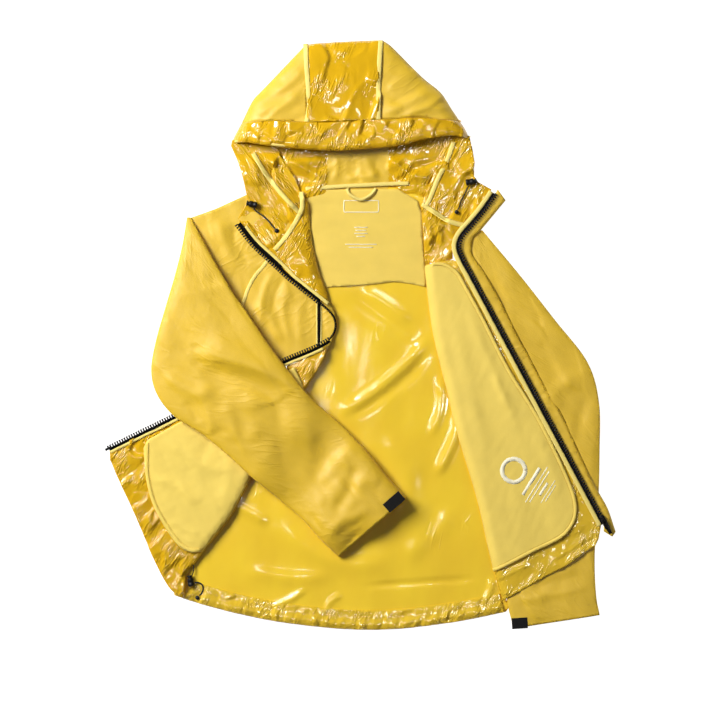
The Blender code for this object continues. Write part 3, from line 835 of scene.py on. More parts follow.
def hook_finish(name, colour):
    """Hook and loop tape: a dense dull pile."""
    finish = Finish(name, roughness=0.95, Sheen_Weight=0.3, Specular_IOR_Level=0.15)
    place = finish.place("Object")
    pile = finish.node("ShaderNodeTexVoronoi", inputs={"Vector": place, "Scale": 1 / (0.9 * MM)})
    tint = finish.mix(finish.spread(pile, 0.0, 0.9), shade(colour, 2.4), colour)
    return finish.set(Base_Color=tint, Normal=finish.bump(pile, 0.35, 0.9))


def braid_finish(name, colour):
    """Braided cord: two thread directions wound round it."""
    finish = Finish(name, roughness=0.8, Sheen_Weight=0.2, Specular_IOR_Level=0.25)
    place = finish.place("Object")
    first = finish.node(
        "ShaderNodeTexWave", {"bands_direction": "X"}, {"Vector": place, "Scale": 300.0}, output=1
    )
    second = finish.node(
        "ShaderNodeTexWave", {"bands_direction": "Y"}, {"Vector": place, "Scale": 300.0}, output=1
    )
    threads = first * second
    tint = finish.mix(threads, colour, shade(colour, 2.6))
    return finish.set(Base_Color=tint, Normal=finish.bump(threads, 0.15, 0.8))


# ---------------------------------------------------------------------------------------------------------
# Settings
# ---------------------------------------------------------------------------------------------------------


def colour_setting(name, description, rgb):
    """A colour property. The default is given as display values from 0 to 255."""
    linear = [(c / 255) / 12.92 if c <= 10 else ((c / 255 + 0.055) / 1.055) ** 2.4 for c in rgb]
    return FloatVectorProperty(
        name=name, description=description, subtype="COLOR", size=3, min=0.0, max=1.0, default=linear
    )


class JacketColours(bpy.types.PropertyGroup):
    shell: colour_setting("Shell", "Matte outside of the cloth", (231, 189, 36))
    film: colour_setting("Film", "Glossy inside of the cloth", (225, 175, 18))
    back_film: colour_setting("Back film", "Glossy inside of the back", (255, 210, 54))
    lining: colour_setting("Lining", "Yoke lining", (242, 209, 94))
    bag: colour_setting("Pocket bag", "Cloth of the pocket bags", (245, 214, 99))
    tape: colour_setting("Tape", "Bonded seam tape and bindings", (246, 222, 120))
    thread: colour_setting("Thread", "Stitches", (222, 178, 60))
    black: colour_setting("Black trim", "Zips, cords and locks", (11, 10, 10))
    mark: colour_setting("Print", "Plain printed marks on the linings", (255, 246, 214))


class JacketSizes(bpy.types.PropertyGroup):
    mesh_spacing: FloatProperty(
        name="Cloth spacing", description="Distance between cloth points", default=0.0038, min=0.002,
        unit="LENGTH"
    )
    cloth_thickness: FloatProperty(
        name="Cloth thickness", description="Thickness of one cloth layer", default=0.0007, min=0.0002,
        unit="LENGTH"
    )
    crumple_depth: FloatProperty(
        name="Crumple depth", description="Height of the creases in the film", default=0.0030, min=0.0,
        unit="LENGTH"
    )
    drape_depth: FloatProperty(
        name="Drape depth", description="Height of the soft waves in the cloth", default=0.0024, min=0.0,
        unit="LENGTH"
    )
    tape_width: FloatProperty(
        name="Tape width", description="Width of the bonded seam tapes", default=0.008, min=0.002,
        unit="LENGTH"
    )
    seed: IntProperty(name="Seed", description="Which drape and crumple the cloth takes", default=7, min=0)


class StudioSettings(bpy.types.PropertyGroup):
    camera_height: FloatProperty(
        name="Camera height", description="Camera above the floor", default=5.0, min=1.0, unit="LENGTH"
    )
    view_width: FloatProperty(
        name="View width", description="Floor width in view", default=1.1815, min=0.1, unit="LENGTH"
    )
    key_light: FloatProperty(name="Key light", description="Brightness of the main softbox", default=23.0)
    fill_light: FloatProperty(name="Fill light", description="Brightness of the fill softbox", default=1.1)
    window_light: FloatProperty(name="Windows", description="Brightness of the small lights", default=30.0)
    air: FloatProperty(name="Air light", description="Even light from all round", default=0.06, min=0.0)


def settings():
    scene = bpy.context.scene
    return scene.jacket_colours, scene.jacket_sizes, scene.jacket_studio


def rgba(colour):
    return (*colour, 1.0)


FINISHES = {}


def finish(name):
    """A finish by name, made the first time it is asked for."""
    if not FINISHES:
        colours, sizes, _ = settings()
        depth, film = sizes.crumple_depth / MM, rgba(colours.film)
        FINISHES.update(
            shell=shell_finish("Matte shell", rgba(colours.shell)),
            film=film_finish("Glossy film", film, (28, depth * 1.2), (8, depth * 0.38), 60, 0.075, 0.44),
            film_slant=film_finish(
                "Slanted film", film, (28, depth * 1.2), (8, depth * 0.38), -55, 0.075, 0.44
            ),
            film_down=film_finish("Hood film", film, (34, depth * 0.9), (8, depth * 0.32), 70, 0.08, 0.48),
            brim_film=film_finish("Brim film", film, (26, depth * 0.7), (6, depth * 0.32), 65, 0.08, 0.48),
            hem_film=film_finish(
                "Hem film", shade(rgba(colours.back_film), 0.8), (20, depth * 0.45), (6, depth * 0.3), 62,
                0.08, 0.46
            ),
            facing_film=film_finish(
                "Facing film", film, (24, depth * 0.9), (7, depth * 0.42), 58, 0.075, 0.42
            ),
            back_film=film_finish(
                "Back film", rgba(colours.back_film), (130, depth * 1.0), (14, depth * 0.2), 80, 0.12, 0.66
            ),
            lining=lining_finish("Yoke lining", rgba(colours.lining)),
            bag=lining_finish("Pocket bag cloth", rgba(colours.bag), roughness=0.62),
            tape=lining_finish("Seam tape", rgba(colours.tape), roughness=0.5, pitch=0.5),
            thread=lining_finish("Thread", rgba(colours.thread), roughness=0.6, pitch=0.3),
            mark=lining_finish("Print", rgba(colours.mark), roughness=0.5, pitch=0.5),
            teeth=plastic_finish("Zip teeth", rgba(colours.black), 0.32),
            zip_tape=lining_finish("Zip tape", rgba(colours.black), roughness=0.9, pitch=0.6, shine=0.06),
            metal=plastic_finish("Black slider", shade(rgba(colours.black), 1.3), 0.3, metallic=0.35),
            lock=plastic_finish("Black lock", rgba(colours.black), 0.42),
            cord=braid_finish("Black cord", shade(rgba(colours.black), 1.2)),
            hook=hook_finish("Hook tape", shade(rgba(colours.black), 0.9)),
        )
    return FINISHES[name]


def flat_rectangle(ring):
    """The smallest rectangle round an outline, as (width, length) in millimetres, and the outline's area."""
    points = np.array(ring, float)
    best = None
    for degrees in range(0, 90, 3):
        spread = np.ptp(turned(points, degrees), axis=0)
        if best is None or spread.prod() < best.prod():
            best = spread
    x, y = points[:, 0], points[:, 1]
    area = abs((x * np.roll(y, -1) - y * np.roll(x, -1)).sum()) / 2
    return sorted(best), area


def trim(made, body, replaces=()):
    """Attaches a piece to its body and hides the frame nodes that it stands for; given a bend between bodies,
    it only bakes the piece's place.
    """
    if isinstance(body, str):
        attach(made, body)
    else:
        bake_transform(made)
    if replaces:
        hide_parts(*replaces)
    return made


def cloth(made, ring, body, replaces=(), cut=None):
    """Attaches a cloth piece and hides what it stands for, as trim does; the flat size of its outline is
    worked out but not kept.

    cut is the width and length of a bent strip, whose outline has a rectangle far larger than the strip.
    """
    trim(made, body, replaces)
    rectangle, area = flat_rectangle(ring)
    width, length = cut or rectangle
    width * MM
    length * MM
    area * MM * MM
    return made


# ---------------------------------------------------------------------------------------------------------
# Shared lines of the jacket, in millimetres
# ---------------------------------------------------------------------------------------------------------

BACK_HEM = smooth(
    [
        (-308, -428), (-268, -441), (-200, -459), (-120, -474), (0, -485), (90, -480), (170, -469),
        (238, -455),
    ]
)
RIGHT_CHAIN = smooth(
    [
        (-205, 181), (-180, 149), (-150, 121), (-122, 95), (-97, 75), (-73, 56), (-56, 42), (-45, 27),
        (-44, 10), (-54, -6), (-84, -22), (-132, -42), (-211, -81), (-308, -131), (-361, -157),
        (-416, -184),
    ]
)
COLLAR_CHAIN = smooth([(221, 231), (202, 204), (183, 181), (168, 164), (162, 151), (163, 138), (172, 118)])
CHAIN_TOP, CHAIN_BOTTOM = np.array((181.5, 101.5)), np.array((400.0, -308.5))
SIDE_FOLD = smooth(
    [(-88, 222), (-85, 190), (-80, 150), (-71, 108), (-60, 78), (-54, 58), (-43, 35), (-41, 12)]
)
FRONT_FOLD = smooth(
    [
        (-41, 12), (-60, -35), (-93, -88), (-136, -160), (-180, -232), (-215, -298), (-262, -358),
        (-290, -396)
    ]
)
FRONT_EDGE = smooth(
    [
        (103, 118), (107, 80), (118, 0), (140, -90), (157, -160), (180, -235), (195, -290), (213, -370),
        (233, -437)
    ]
)
BRIM_EDGE = smooth(
    [
        (-213, 316), (-185, 316), (-140, 309), (-60, 303), (0, 305), (60, 311), (100, 321), (145, 328),
        (178, 323)
    ]
)
BRIM_SEAM = smooth([(-197, 350), (-140, 352), (-90, 350), (28, 354), (90, 357), (164, 352)])
HOOD_OUTLINE = smooth(
    [
        (-213, 316), (-209, 328), (-199, 346), (-180, 385), (-165, 402), (-140, 428), (-100, 470),
        (-88, 479), (-40, 483), (0, 485), (30, 486), (44, 480), (60, 465), (100, 425), (130, 400),
        (150, 370), (170, 340), (178, 323),
    ]
)
RIGHT_BAG = [
    (-352, -172), (-300, -143), (-180, -88), (-110, -52), (-93, -88), (-180, -229), (-215, -296),
    (-262, -356),
    *smooth([(-280, -357), (-300, -346), (-325, -312), (-345, -270), (-355, -222), (-358, -185)]),
]
BAG_ARC = smooth([(104, 114), (120, 119), (137, 118), (150, 111), (160, 103)])
BAG_EDGE = smooth(
    [
        (170, 85), (200, 30), (240, -50), (280, -115), (300, -150), (325, -201), (345, -247),
        (353, -275), (352, -300), (340, -322), (320, -338), (280, -357), (240, -378), (217, -388),
    ]
)
LEFT_BAG = [*BAG_ARC, *BAG_EDGE, *FRONT_EDGE[(FRONT_EDGE[:, 1] > -386) & (FRONT_EDGE[:, 1] < 112)][::-1]]
CORD_PATHS = {
    "hood_cord_right": (
        [(-176.5, 208.6), (-173, 204), (-163, 197), (-153, 188), (-146, 179), (-142.4, 175.2)],
        15.8, 10.2, (-139.6, 172),
    ),
    "hood_cord_left": (
        [(176.0, 245.6), (173, 240), (169, 231), (164, 222), (161, 212), (158.4, 206.6)],
        13.0, 7.4, (156.4, 202.8),
    ),
    "hem_cord_tail": (
        [(-274.4, -406.6), (-268, -407), (-262, -411), (-261, -418), (-263.6, -424.6), (-267.2, -428.4)],
        8.6, 3.0, (-270, -431.6),
    ),
}
FOLD_LINE = ((155.0, 148.0), (233.0, -437.0))
ELBOW_LINE = ((-316.0, -134.0), (-158.0, 8.0))


def across_line(line, reach, z):
    """Start and end points on either side of a fold line that a cloth lies over. Metres."""
    a, b = (np.array(p) for p in line)
    along = (b - a) / np.linalg.norm(b - a)
    outward = np.array((-along[1], along[0]))
    middle = (a + b) / 2
    start, end = middle - outward * reach, middle + outward * reach
    return (*(start * MM), z * MM), (*(end * MM), z * MM)


def front_bend():
    start, end = across_line(FOLD_LINE, 24, 14)
    return ROOT, FRONT, start, end


def collar_bend():
    return ROOT, FRONT, (0.163, 0.146, 0.015), (0.186, 0.094, 0.015)


def elbow_bend():
    end, start = across_line(ELBOW_LINE, 32, 25)
    return ROOT, FOREARM, start, end


def crown_bend():
    return ROOT, CROWN, (0.0, 0.300, 0.0), (0.0, 0.332, 0.0)


def z_level(level):
    return lambda p: np.full(len(p), float(level))


def back_height(p):
    sizes = settings()[1]
    depth, seed = sizes.drape_depth / MM, sizes.seed
    placed = [
        ([(112, 8), (90, -30), (58, -62), (15, -98), (-42, -134)], 11, 3.4),
        ([(120, -12), (85, -58), (45, -92), (0, -122), (-40, -140)], 9, -2.0),
        ([(160, -120), (156, -160), (140, -200), (120, -235)], 8, 3.6),
        ([(128, -60), (132, -95), (128, -130), (112, -172)], 7, 2.6),
        ([(0, 76), (40, 52), (85, 18)], 12, 2.2),
        ([(-30, 70), (10, 48), (60, 8), (100, -30)], 15, -2.2),
        ([(-230, -270), (-195, -286), (-150, -312)], 8, 3.4),
        ([(-150, -300), (-90, -350), (-20, -378), (60, -372)], 16, 2.6),
        ([(60, -372), (120, -330), (150, -280)], 16, 1.8),
        ([(-10, -414), (90, -407), (200, -400)], 5, -1.8),
        ([(40, -150), (70, -230), (60, -330)], 24, 2.0),
        ([(100, -200), (120, -290), (110, -380)], 20, -1.6),
        ([(-200, -385), (-120, -400), (-40, -396)], 12, 2.0),
        ([(-160, -452), (-120, -436), (-88, -416)], 5, 2.6),
        ([(-60, -462), (-52, -440), (-30, -424)], 5, 1.8),
        ([(200, -446), (212, -420), (216, -396)], 6, 2.4),
    ]
    return np.maximum(3.0 + folds(p, placed) + 0.3 * drape(p, 60, 200, 82, depth, seed), 1.2)


def yoke_height(p):
    return np.maximum(4.9 + drape(p, 30, 90, 5, 0.8, 21), 4.2)


def print_height(p):
    """Just above the yoke lining, whose mesh cuts straight across its waves."""
    return yoke_height(p) + 0.35


def hood_height(p):
    """The hood's upper side: low at its outline, and rising to the brim."""
    distance, _, _ = near_path(p, HOOD_OUTLINE)
    rise = np.clip((486 - p[:, 1]) / 175, 0, 1)
    brim, _, _ = near_path(p, BRIM_EDGE)
    lip = np.clip(1 - brim / 10, 0, 1) ** 2 * 5
    return 3.5 + 8 * (1 - np.exp(-distance / 8)) + 15 * rise * (1 - np.exp(-distance / 16)) - lip


# ---------------------------------------------------------------------------------------------------------
# Operators: one for each group of pieces
# ---------------------------------------------------------------------------------------------------------


class JACKET_OT_back(bpy.types.Operator):
    """Makes the back, its yoke lining and its hem"""

    bl_idname = "jacket.back"
    bl_label = "Back"

    def execute(self, context):
        _, sizes, _ = settings()
        spacing = sizes.mesh_spacing / MM
        right = [(244, -446), (236, -430), (160, -150), (112, 121), (150, 150), (110, 225), (60, 244)]
        left = [(-110, 244), (-186, 222), (-276, 186), (-276, 0), (-288, -200), (-310, -420)]
        ring = [*BACK_HEM, *right, *left]
        back = panel("back_cloth", ring, back_height, spacing, [finish("back_film"), finish("shell")], 1.0)
        cloth(back, ring, ROOT, ["back_panel"])
        lower = smooth([(106, 80), (80, 85), (50, 88), (20, 84), (-20, 81), (-57, 79), (-110, 72)])
        ring = [(-110, 236), (-60, 240), (60, 241), (92, 222), (100, 200), (101, 160), (104, 118), *lower]
        yoke = panel("yoke_cloth", ring, yoke_height, spacing, [finish("lining")], 0.6)
        cloth(yoke, ring, ROOT, ["back_yoke_lining"])
        hem = smooth([*BACK_HEM[::3], BACK_HEM[-1]])
        ring = band(hem[2:-1], 32, 0)
        height = self.hem_height
        hem_cloth = panel("back_hem_cloth", ring, height, 2.4, [finish("hem_film")], 0.5)
        cloth(hem_cloth, ring, ROOT, ["hem_channel"])
        line = beside(hem[2:-1], 21)
        trim(stitches("back_hem_stitches", line, height, finish("thread"), 0.3), ROOT)
        return {"FINISHED"}

    @staticmethod
    def hem_height(p):
        distance, _, _ = near_path(p, BACK_HEM)
        tunnel = np.exp(-(((distance - 9) / 8) ** 2)) * 4.2
        gathers = crumple(p, 12, 3.6, 31, along=2.2, direction=80)
        inner = np.clip((32 - distance) / 6, 0, 1) * calm(p, CORD_PATHS["hem_cord_tail"][0], 10)
        gathers = 0.3 * gathers + facets(p, 13, 0.34, 33, along=2.0, direction=75)
        return np.maximum(3.4 + (tunnel + gathers + 0.5) * inner, 3.1) + 0.5


class JACKET_OT_prints(bpy.types.Operator):
    """Makes the plain printed marks on the yoke lining and the pocket bag"""

    bl_idname = "jacket.prints"
    bl_label = "Printed marks"

    def execute(self, context):
        mark = finish("mark")
        frame = [(-29, 222), (28, 222), (28, 203), (-29, 203), (-29, 222)]
        trim(ribbon("neck_mark_frame", frame, 1.4, print_height, [mark], 0.2, 0.2, 1), ROOT)
        for i, (y, half) in enumerate(((178, 11), (173, 9), (168, 11), (163, 7), (150, 26), (145, 20))):
            path = [(-1 - half, y), (-1 + half, y)]
            made = ribbon(f"neck_mark_line_{i}", path, 1.3, print_height, [mark], 0.2, 0.2, 1)
            trim(made, ROOT)
        height = JACKET_OT_left_front.bag_height
        centre, along, down = np.array((250.0, -222.0)), np.array((0.53, 0.85)), np.array((0.85, -0.53))
        angles = np.linspace(0, 2 * math.pi, 49)
        ring = centre + 19 * np.stack([np.cos(angles), np.sin(angles)], 1)
        parts = [ribbon("bag_mark_ring", ring, 7.5, height, [mark], 0.1, 0.1, 2)]
        for i, (offset, half, width) in enumerate(
            ((34, 26, 6), (44, 34, 2), (50, 30, 2), (58, 12, 5), (66, 22, 1.6), (71, 16, 1.6))
        ):
            middle = centre + down * offset
            path = [middle - along * half, middle + along * half]
            parts.append(ribbon(f"bag_mark_bar_{i}", path, width, height, [mark], 0.1, 0.1, 2))
        trim(joined("bag_mark", parts), front_bend())
        return {"FINISHED"}


class JACKET_OT_hood(bpy.types.Operator):
    """Makes the hood: its upper panels, its brim, its linings, its cheeks and their tapes"""

    bl_idname = "jacket.hood"
    bl_label = "Hood"

    def execute(self, context):
        spacing = settings()[1].mesh_spacing / MM
        self.crown(spacing)
        self.lining(spacing)
        self.cheeks()
        return {"FINISHED"}

    @staticmethod
    def crown(spacing):
        def centre(p):
            return (
                hood_height(p) + 1.0
                + facets(p, 30, 0.28, 41, along=1.8, direction=70)
                + crumple(p, 34, 0.6, 42)
            )

        def side(p):
            placed = [
                ([(30, 360), (70, 378), (120, 405)], 9, 4.0),
                ([(60, 358), (110, 372), (150, 372)], 7, 3.0),
                ([(-180, 362), (-130, 378), (-95, 400)], 9, 3.0),
                ([(-150, 400), (-120, 412), (-92, 440)], 8, 2.5),
            ]
            creased = facets(p, 30, 0.1, 45, along=2.4, direction=25)
            return hood_height(p) + folds(p, placed) + drape(p, 26, 60, 30, 1.0, 43) + creased

        def brim(p):
            return (
                hood_height(p) + 1.6
                + facets(p, 19, 0.36, 44, along=1.5, direction=70)
                + crumple(p, 17, 0.4, 44)
            )

        left, right = (-90, 28)
        outline = HOOD_OUTLINE
        split_left = int(np.argmin(np.abs(outline[:, 0] - left) + (outline[:, 1] < 470) * 100))
        split_right = int(np.argmin(np.abs(outline[:, 0] - (right + 4)) + (outline[:, 1] < 470) * 100))
        seam = BRIM_SEAM
        at_left = int(np.argmin(np.abs(seam[:, 0] - left)))
        at_right = int(np.argmin(np.abs(seam[:, 0] - right)))
        first = int(np.argmin(np.abs(outline[:, 1] - 350) + (outline[:, 0] > 0) * 500))
        last = int(np.argmin(np.abs(outline[:, 1] - 352) + (outline[:, 0] < 0) * 500))
        ring = [*seam[at_left : at_right + 1], *outline[split_left : split_right + 1][::-1]]
        made = panel("hood_centre_cloth", ring, centre, spacing * 0.8, [finish("film_down")], 0.6)
        cloth(made, ring, CROWN, ["hood_center_panel"])
        ring = [*seam[: at_left + 1], *outline[first : split_left + 1][::-1]]
        made = panel("hood_side_cloth_right", ring, side, spacing, [finish("shell")], 0.6)
        cloth(made, ring, CROWN, ["hood_side_panel_right"])
        ring = [*seam[at_right:], *outline[split_right : last + 1][::-1]]
        made = panel("hood_side_cloth_left", ring, side, spacing, [finish("shell")], 0.6)
        cloth(made, ring, CROWN, ["hood_side_panel_left"])
        ring = [*BRIM_EDGE, *outline[last:][::-1], *seam[::-1], *outline[:first][::-1]]
        made = panel("hood_brim_cloth", ring, brim, 2.6, [finish("brim_film")], 1.2)
        cloth(made, ring, CROWN, ["hood_brim"])
        width = settings()[1].tape_width / MM
        tapes = {
            "hood_tape_right": smooth([(-92, 480), (-90, 440), (-87, 400), (-86, 375), (-90, 350)]),
            "hood_tape_left": smooth([(32, 486), (29, 440), (28, 400), (28, 354)]),
        }
        for name, path in tapes.items():
            made = ribbon(
                name, path, width, lambda p: side(p) * 0.5 + centre(p) * 0.5 + 1.2, [finish("tape")], 0.6
            )
            trim(made, CROWN)
        for name, path in (
            ("brim_seam_stitches", seam[1:-1]),
            ("brim_edge_stitches", beside(BRIM_EDGE, 13)[2:-2]),
        ):
            trim(stitches(name, path, brim, finish("thread"), 0.5), CROWN)
        lip = ribbon(
            "hood_brim_binding", beside(BRIM_EDGE, 3.0), 5, lambda p: hood_height(p) - 1.6,
            [finish("tape")], 1.6
        )
        trim(lip, CROWN)

    @staticmethod
    def lining(spacing):
        def height(p):
            placed = [
                ([(-130, 300), (-100, 276), (-66, 262), (-58, 262)], 8, 6.0),
                ([(-150, 290), (-120, 262), (-70, 254)], 6, -2.5),
                ([(50, 300), (62, 276), (90, 262), (120, 262)], 8, 6.0),
                ([(46, 256), (70, 268), (92, 300)], 6, 4.0),
                ([(-44, 302), (-40, 276), (-46, 252)], 6, 2.4),
                ([(-22, 302), (-12, 280), (-18, 258)], 7, -2.0),
                ([(6, 300), (14, 276), (26, 258)], 7, 2.2),
                ([(30, 300), (26, 280), (36, 262)], 5, -1.8),
                ([(-30, 256), (0, 264), (34, 256)], 6, 2.0),
            ]
            middle = (p[:, 0] > -57) & (p[:, 0] < 45)
            slack = np.where(middle, 0.35, np.clip((p[:, 0] + 160) / 20, 0, 1))
            creased = slack * facets(p, 28, 0.46, 51, along=1.7, direction=20)
            free = 1 - 0.75 * np.clip((p[:, 1] - 284) / 14, 0, 1)
            return np.maximum(3.4 + free * (folds(p, placed) + creased), 1.6) + 0.6

        def paint(p):
            return ((p[:, 0] > -57) & (p[:, 0] < 45)).astype(int)

        ring = [
            (-190, 300), (-172, 234), (-110, 226), (60, 232), (112, 214), (170, 262), (176, 318),
            *HOOD_OUTLINE[::-1][3:-3]
        ]
        inset = [np.array(p) * (0.985, 0.995) for p in ring]
        made = panel(
            "hood_lining_cloth", inset, height, spacing, [finish("film"), finish("shell"), finish("shell")],
            0, paint
        )
        made = thicken_under(made, 0.8, 2)
        cloth(
            made, inset, crown_bend(), ["hood_back_panel", "hood_neck_lining"],
        )
        path = smooth([(-92, 241), (-40, 245), (0, 247), (40, 249), (78, 250)])
        made = ribbon("neck_seam_tape", path, 7, z_level(6.0), [finish("tape")], 0.9)
        trim(made, ROOT)

    @staticmethod
    def cheeks():
        def right_height(p):
            creased = facets(p, 27, 0.5, 61, along=1.9, direction=120) + crumple(p, 24, 0.5, 61)
            free = calm(p, CORD_PATHS["hood_cord_right"][0], 11)
            under_brim = np.clip((p[:, 1] - 280) / 20, 0, 1)
            return 8.7 + free * (1.3 + (1 - under_brim) * creased) - 4.6 * under_brim

        def left_height(p):
            gusset = [
                ([(104, 208), (113, 170), (110, 130)], 5, 5.0),
                ([(108, 206), (127, 172), (134, 146)], 5.5, 4.6),
                ([(112, 202), (140, 176), (152, 160)], 5, 3.8),
                ([(103, 190), (103, 160), (103, 134)], 4, 2.6),
            ]
            creased = facets(p, 25, 0.38, 64, along=2.2, direction=65) + crumple(p, 22, 0.5, 63)
            free = calm(p, [(180, 262), *CORD_PATHS["hood_cord_left"][0]], 13)
            under_brim = np.clip((p[:, 1] - 285) / 20, 0, 1)
            return 6.0 + folds(p, gusset) + free * (1.3 + (1 - under_brim) * creased) - 2.2 * under_brim

        ring = [
            (-213, 322), (-215, 312), (-205, 290), (-198, 270), (-193, 250), (-190, 235), (-187, 222),
            (-203, 192), (-195, 176), (-170, 147), (-143, 132), (-128, 150), (-112, 175), (-99, 200),
            (-95, 222), (-108, 256), (-132, 296), (-142, 320),
        ]
        made = panel("cheek_cloth_right", ring, right_height, 2.6, [finish("film_slant")], 0.7)
        cloth(made, ring, ROOT, ["hood_cheek_right"])
        ring = [
            (178, 326), (183, 305), (186, 285), (185, 262), (192, 252), (214, 240), (196, 212),
            (172, 184), (157, 164), (150, 140), (150, 126), (132, 118), (104, 120), (101, 170),
            (98, 214), (112, 250), (130, 290), (140, 322),
        ]
        made = panel("cheek_cloth_left", ring, left_height, 2.6, [finish("film")], 0.7)
        cloth(made, ring, ROOT, ["hood_cheek_left"])

        def over_lapel(p):
            return np.maximum(
                right_height(p), np.where(p[:, 1] < 222, JACKET_OT_right_front.lapel_height(p), 0)
            )

        tapes = {
            "cheek_tape_right": (
                [(-178, 300), (-160, 270), (-140, 243), (-120, 220), (-103, 203)], right_height
            ),
            "neck_tape_right": (
                [(-99, 236), (-97, 215), (-101, 200), (-115, 175), (-130, 155), (-143, 140)],
                over_lapel,
            ),
            "cheek_tape_left": ([(152, 318), (140, 285), (125, 255), (113, 225), (105, 212)], left_height),
            "neck_tape_left": ([(100, 216), (120, 203), (140, 190), (155, 184), (170, 181)], left_height),
        }
        width = settings()[1].tape_width / MM
        for name, (path, height) in tapes.items():
            made = ribbon(name, smooth(path), width, highest(height), [finish("tape")], 0.9)
            trim(made, ROOT)


class JACKET_OT_right_front(bpy.types.Operator):
    """Makes the wearer's right front: yoke, chest, lapel, turned facing, pocket bag and zips"""

    bl_idname = "jacket.right_front"
    bl_label = "Right front"

    def execute(self, context):
        spacing = settings()[1].mesh_spacing / MM

        def chest_height(p):
            placed = [
                ([(-142, 112), (-158, 78), (-166, 40), (-160, 8)], 6, 2.2),
                ([(-126, 100), (-142, 66), (-146, 34)], 5, -1.8),
                ([(-118, 84), (-128, 54), (-126, 20), (-112, -20)], 6, 1.8),
                ([(-96, 60), (-104, 24), (-98, -20)], 7, 1.4),
                ([(-178, 60), (-150, 24), (-128, -14)], 9, 2.4),
                ([(-236, 196), (-226, 150), (-206, 112)], 10, 2.2),
                ([(-214, 186), (-200, 140), (-176, 116)], 8, -2.0),
                ([(-262, 180), (-244, 140), (-214, 92)], 12, 2.0),
            ]
            creased = facets(p, 24, 0.08, 72, along=3.0, direction=105)
            return 8.0 + folds(p, placed) + drape(p, 30, 70, 120, 1.0, 71) + creased

        ring = [
            (-285, 192), (-240, 208), (-190, 231), (-150, 222), (-92, 224), *SIDE_FOLD[8:], *FRONT_FOLD[1:],
            (-300, -412), (-288, -200), (-280, 0),
        ]
        made = panel("chest_cloth", ring, chest_height, spacing, [finish("shell"), finish("film")], 0.8)
        replaced = ["right_front_yoke", "right_front_chest"]
        cloth(made, ring, ROOT, replaced)
        seam = smooth([(-150, 131), (-158, 118), (-175, 98), (-187, 76), (-197, 48), (-220, 10)])
        made = ribbon("chest_seam_tape", seam, 6, lambda p: chest_height(p) + 0.2, [finish("tape")], 0.5)
        trim(made, ROOT)
        self.turned(spacing)
        self.zips(chest_height)
        return {"FINISHED"}

    @staticmethod
    def lapel_height(p):
        near, _, _ = near_path(p, SIDE_FOLD)
        roll = np.clip(1 - near / 14, 0, 1) ** 2
        return 15.4 - 6.0 * roll + facets(p, 26, 0.3, 81, along=2.2, direction=110) + crumple(p, 24, 0.4, 81)

    @staticmethod
    def facing_height(p):
        near, _, _ = near_path(p, FRONT_FOLD)
        over_zip = calm(p, [(-70, -10), (-70, -62)], 15)
        roll = np.clip(1 - near / 12, 0, 1) ** 2 * over_zip
        slack = np.where(inside(p, RIGHT_BAG), 0.15, over_zip)
        creased = facets(p, 20, 0.44, 83, along=2.0, direction=58) + crumple(p, 20, 0.6, 83)
        return 15.0 - 5.0 * roll + slack * creased

    def turned(self, spacing):
        edge = beside(RIGHT_CHAIN, 5.0)
        side = SIDE_FOLD[SIDE_FOLD[:, 1] > 62][::-1]
        ring = [*edge[6:22], (-58, 50), *side, (-96, 214), (-101, 200), (-118, 170), (-134, 148)]
        made = panel("lapel_cloth", ring, self.lapel_height, 2.8, [finish("film"), finish("shell")], 0.7)
        cloth(made, ring, ROOT, ["right_lapel"])
        hem = smooth(
            [
                (-413, -204), (-400, -235), (-370, -300), (-345, -360), (-325, -400), (-310, -421),
                (-293, -432)
            ]
        )
        front = FRONT_FOLD[FRONT_FOLD[:, 1] < -34][::-1]
        ring = [(-59, -20), *edge[40:], *hem, *front]
        made = panel(
            "turned_facing_cloth", ring, self.facing_height, 2.6, [finish("facing_film"), finish("shell")],
            0.7
        )
        cloth(
            made, ring, ROOT, ["right_front_facing"]
        )
        ring = RIGHT_BAG
        made = panel("right_bag_cloth", ring, self.bag_height, spacing, [finish("bag")], 0.6)
        cloth(made, ring, ROOT, ["right_pocket_bag"])
        outline = smooth(
            [
                (-354, -176), (-355, -222), (-345, -270), (-325, -310), (-300, -344), (-280, -355),
                (-264, -355)
            ]
        )
        made = ribbon("right_bag_binding", beside(outline, 2.6), 6.4, self.bag_height, [finish("bag")], 0.9)
        trim(made, ROOT)
        line = beside(outline, 6.6)[1:-1]
        trim(
            stitches("right_bag_stitches", line, self.bag_height, finish("thread"), 0.2), ROOT,
        )

    @staticmethod
    def bag_height(p):
        placed = [
            ([(-330, -165), (-280, -200), (-240, -220), (-205, -215)], 9, 1.8),
            ([(-345, -230), (-300, -250), (-262, -280)], 8, 1.8),
            ([(-262, -130), (-250, -170), (-272, -215)], 10, -1.6),
            ([(-320, -300), (-290, -318), (-262, -330)], 6, 1.4),
            ([(-310, -320), (-290, -335), (-268, -344)], 3.5, 1.0),
            ([(-230, -170), (-215, -220), (-232, -290)], 12, 1.6),
        ]
        near, _, _ = near_path(p, FRONT_FOLD)
        roll = np.clip(1 - near / 14, 0, 1) ** 2
        return (
            18.2 - 5.5 * roll + folds(p, placed)
            + drape(p, 24, 70, 120, 0.9, 87)
            + drape(p, 9, 26, 20, 0.25, 88)
        )

    def zips(self, chest_height):
        def level(p):
            return np.full(len(p), 17.2)

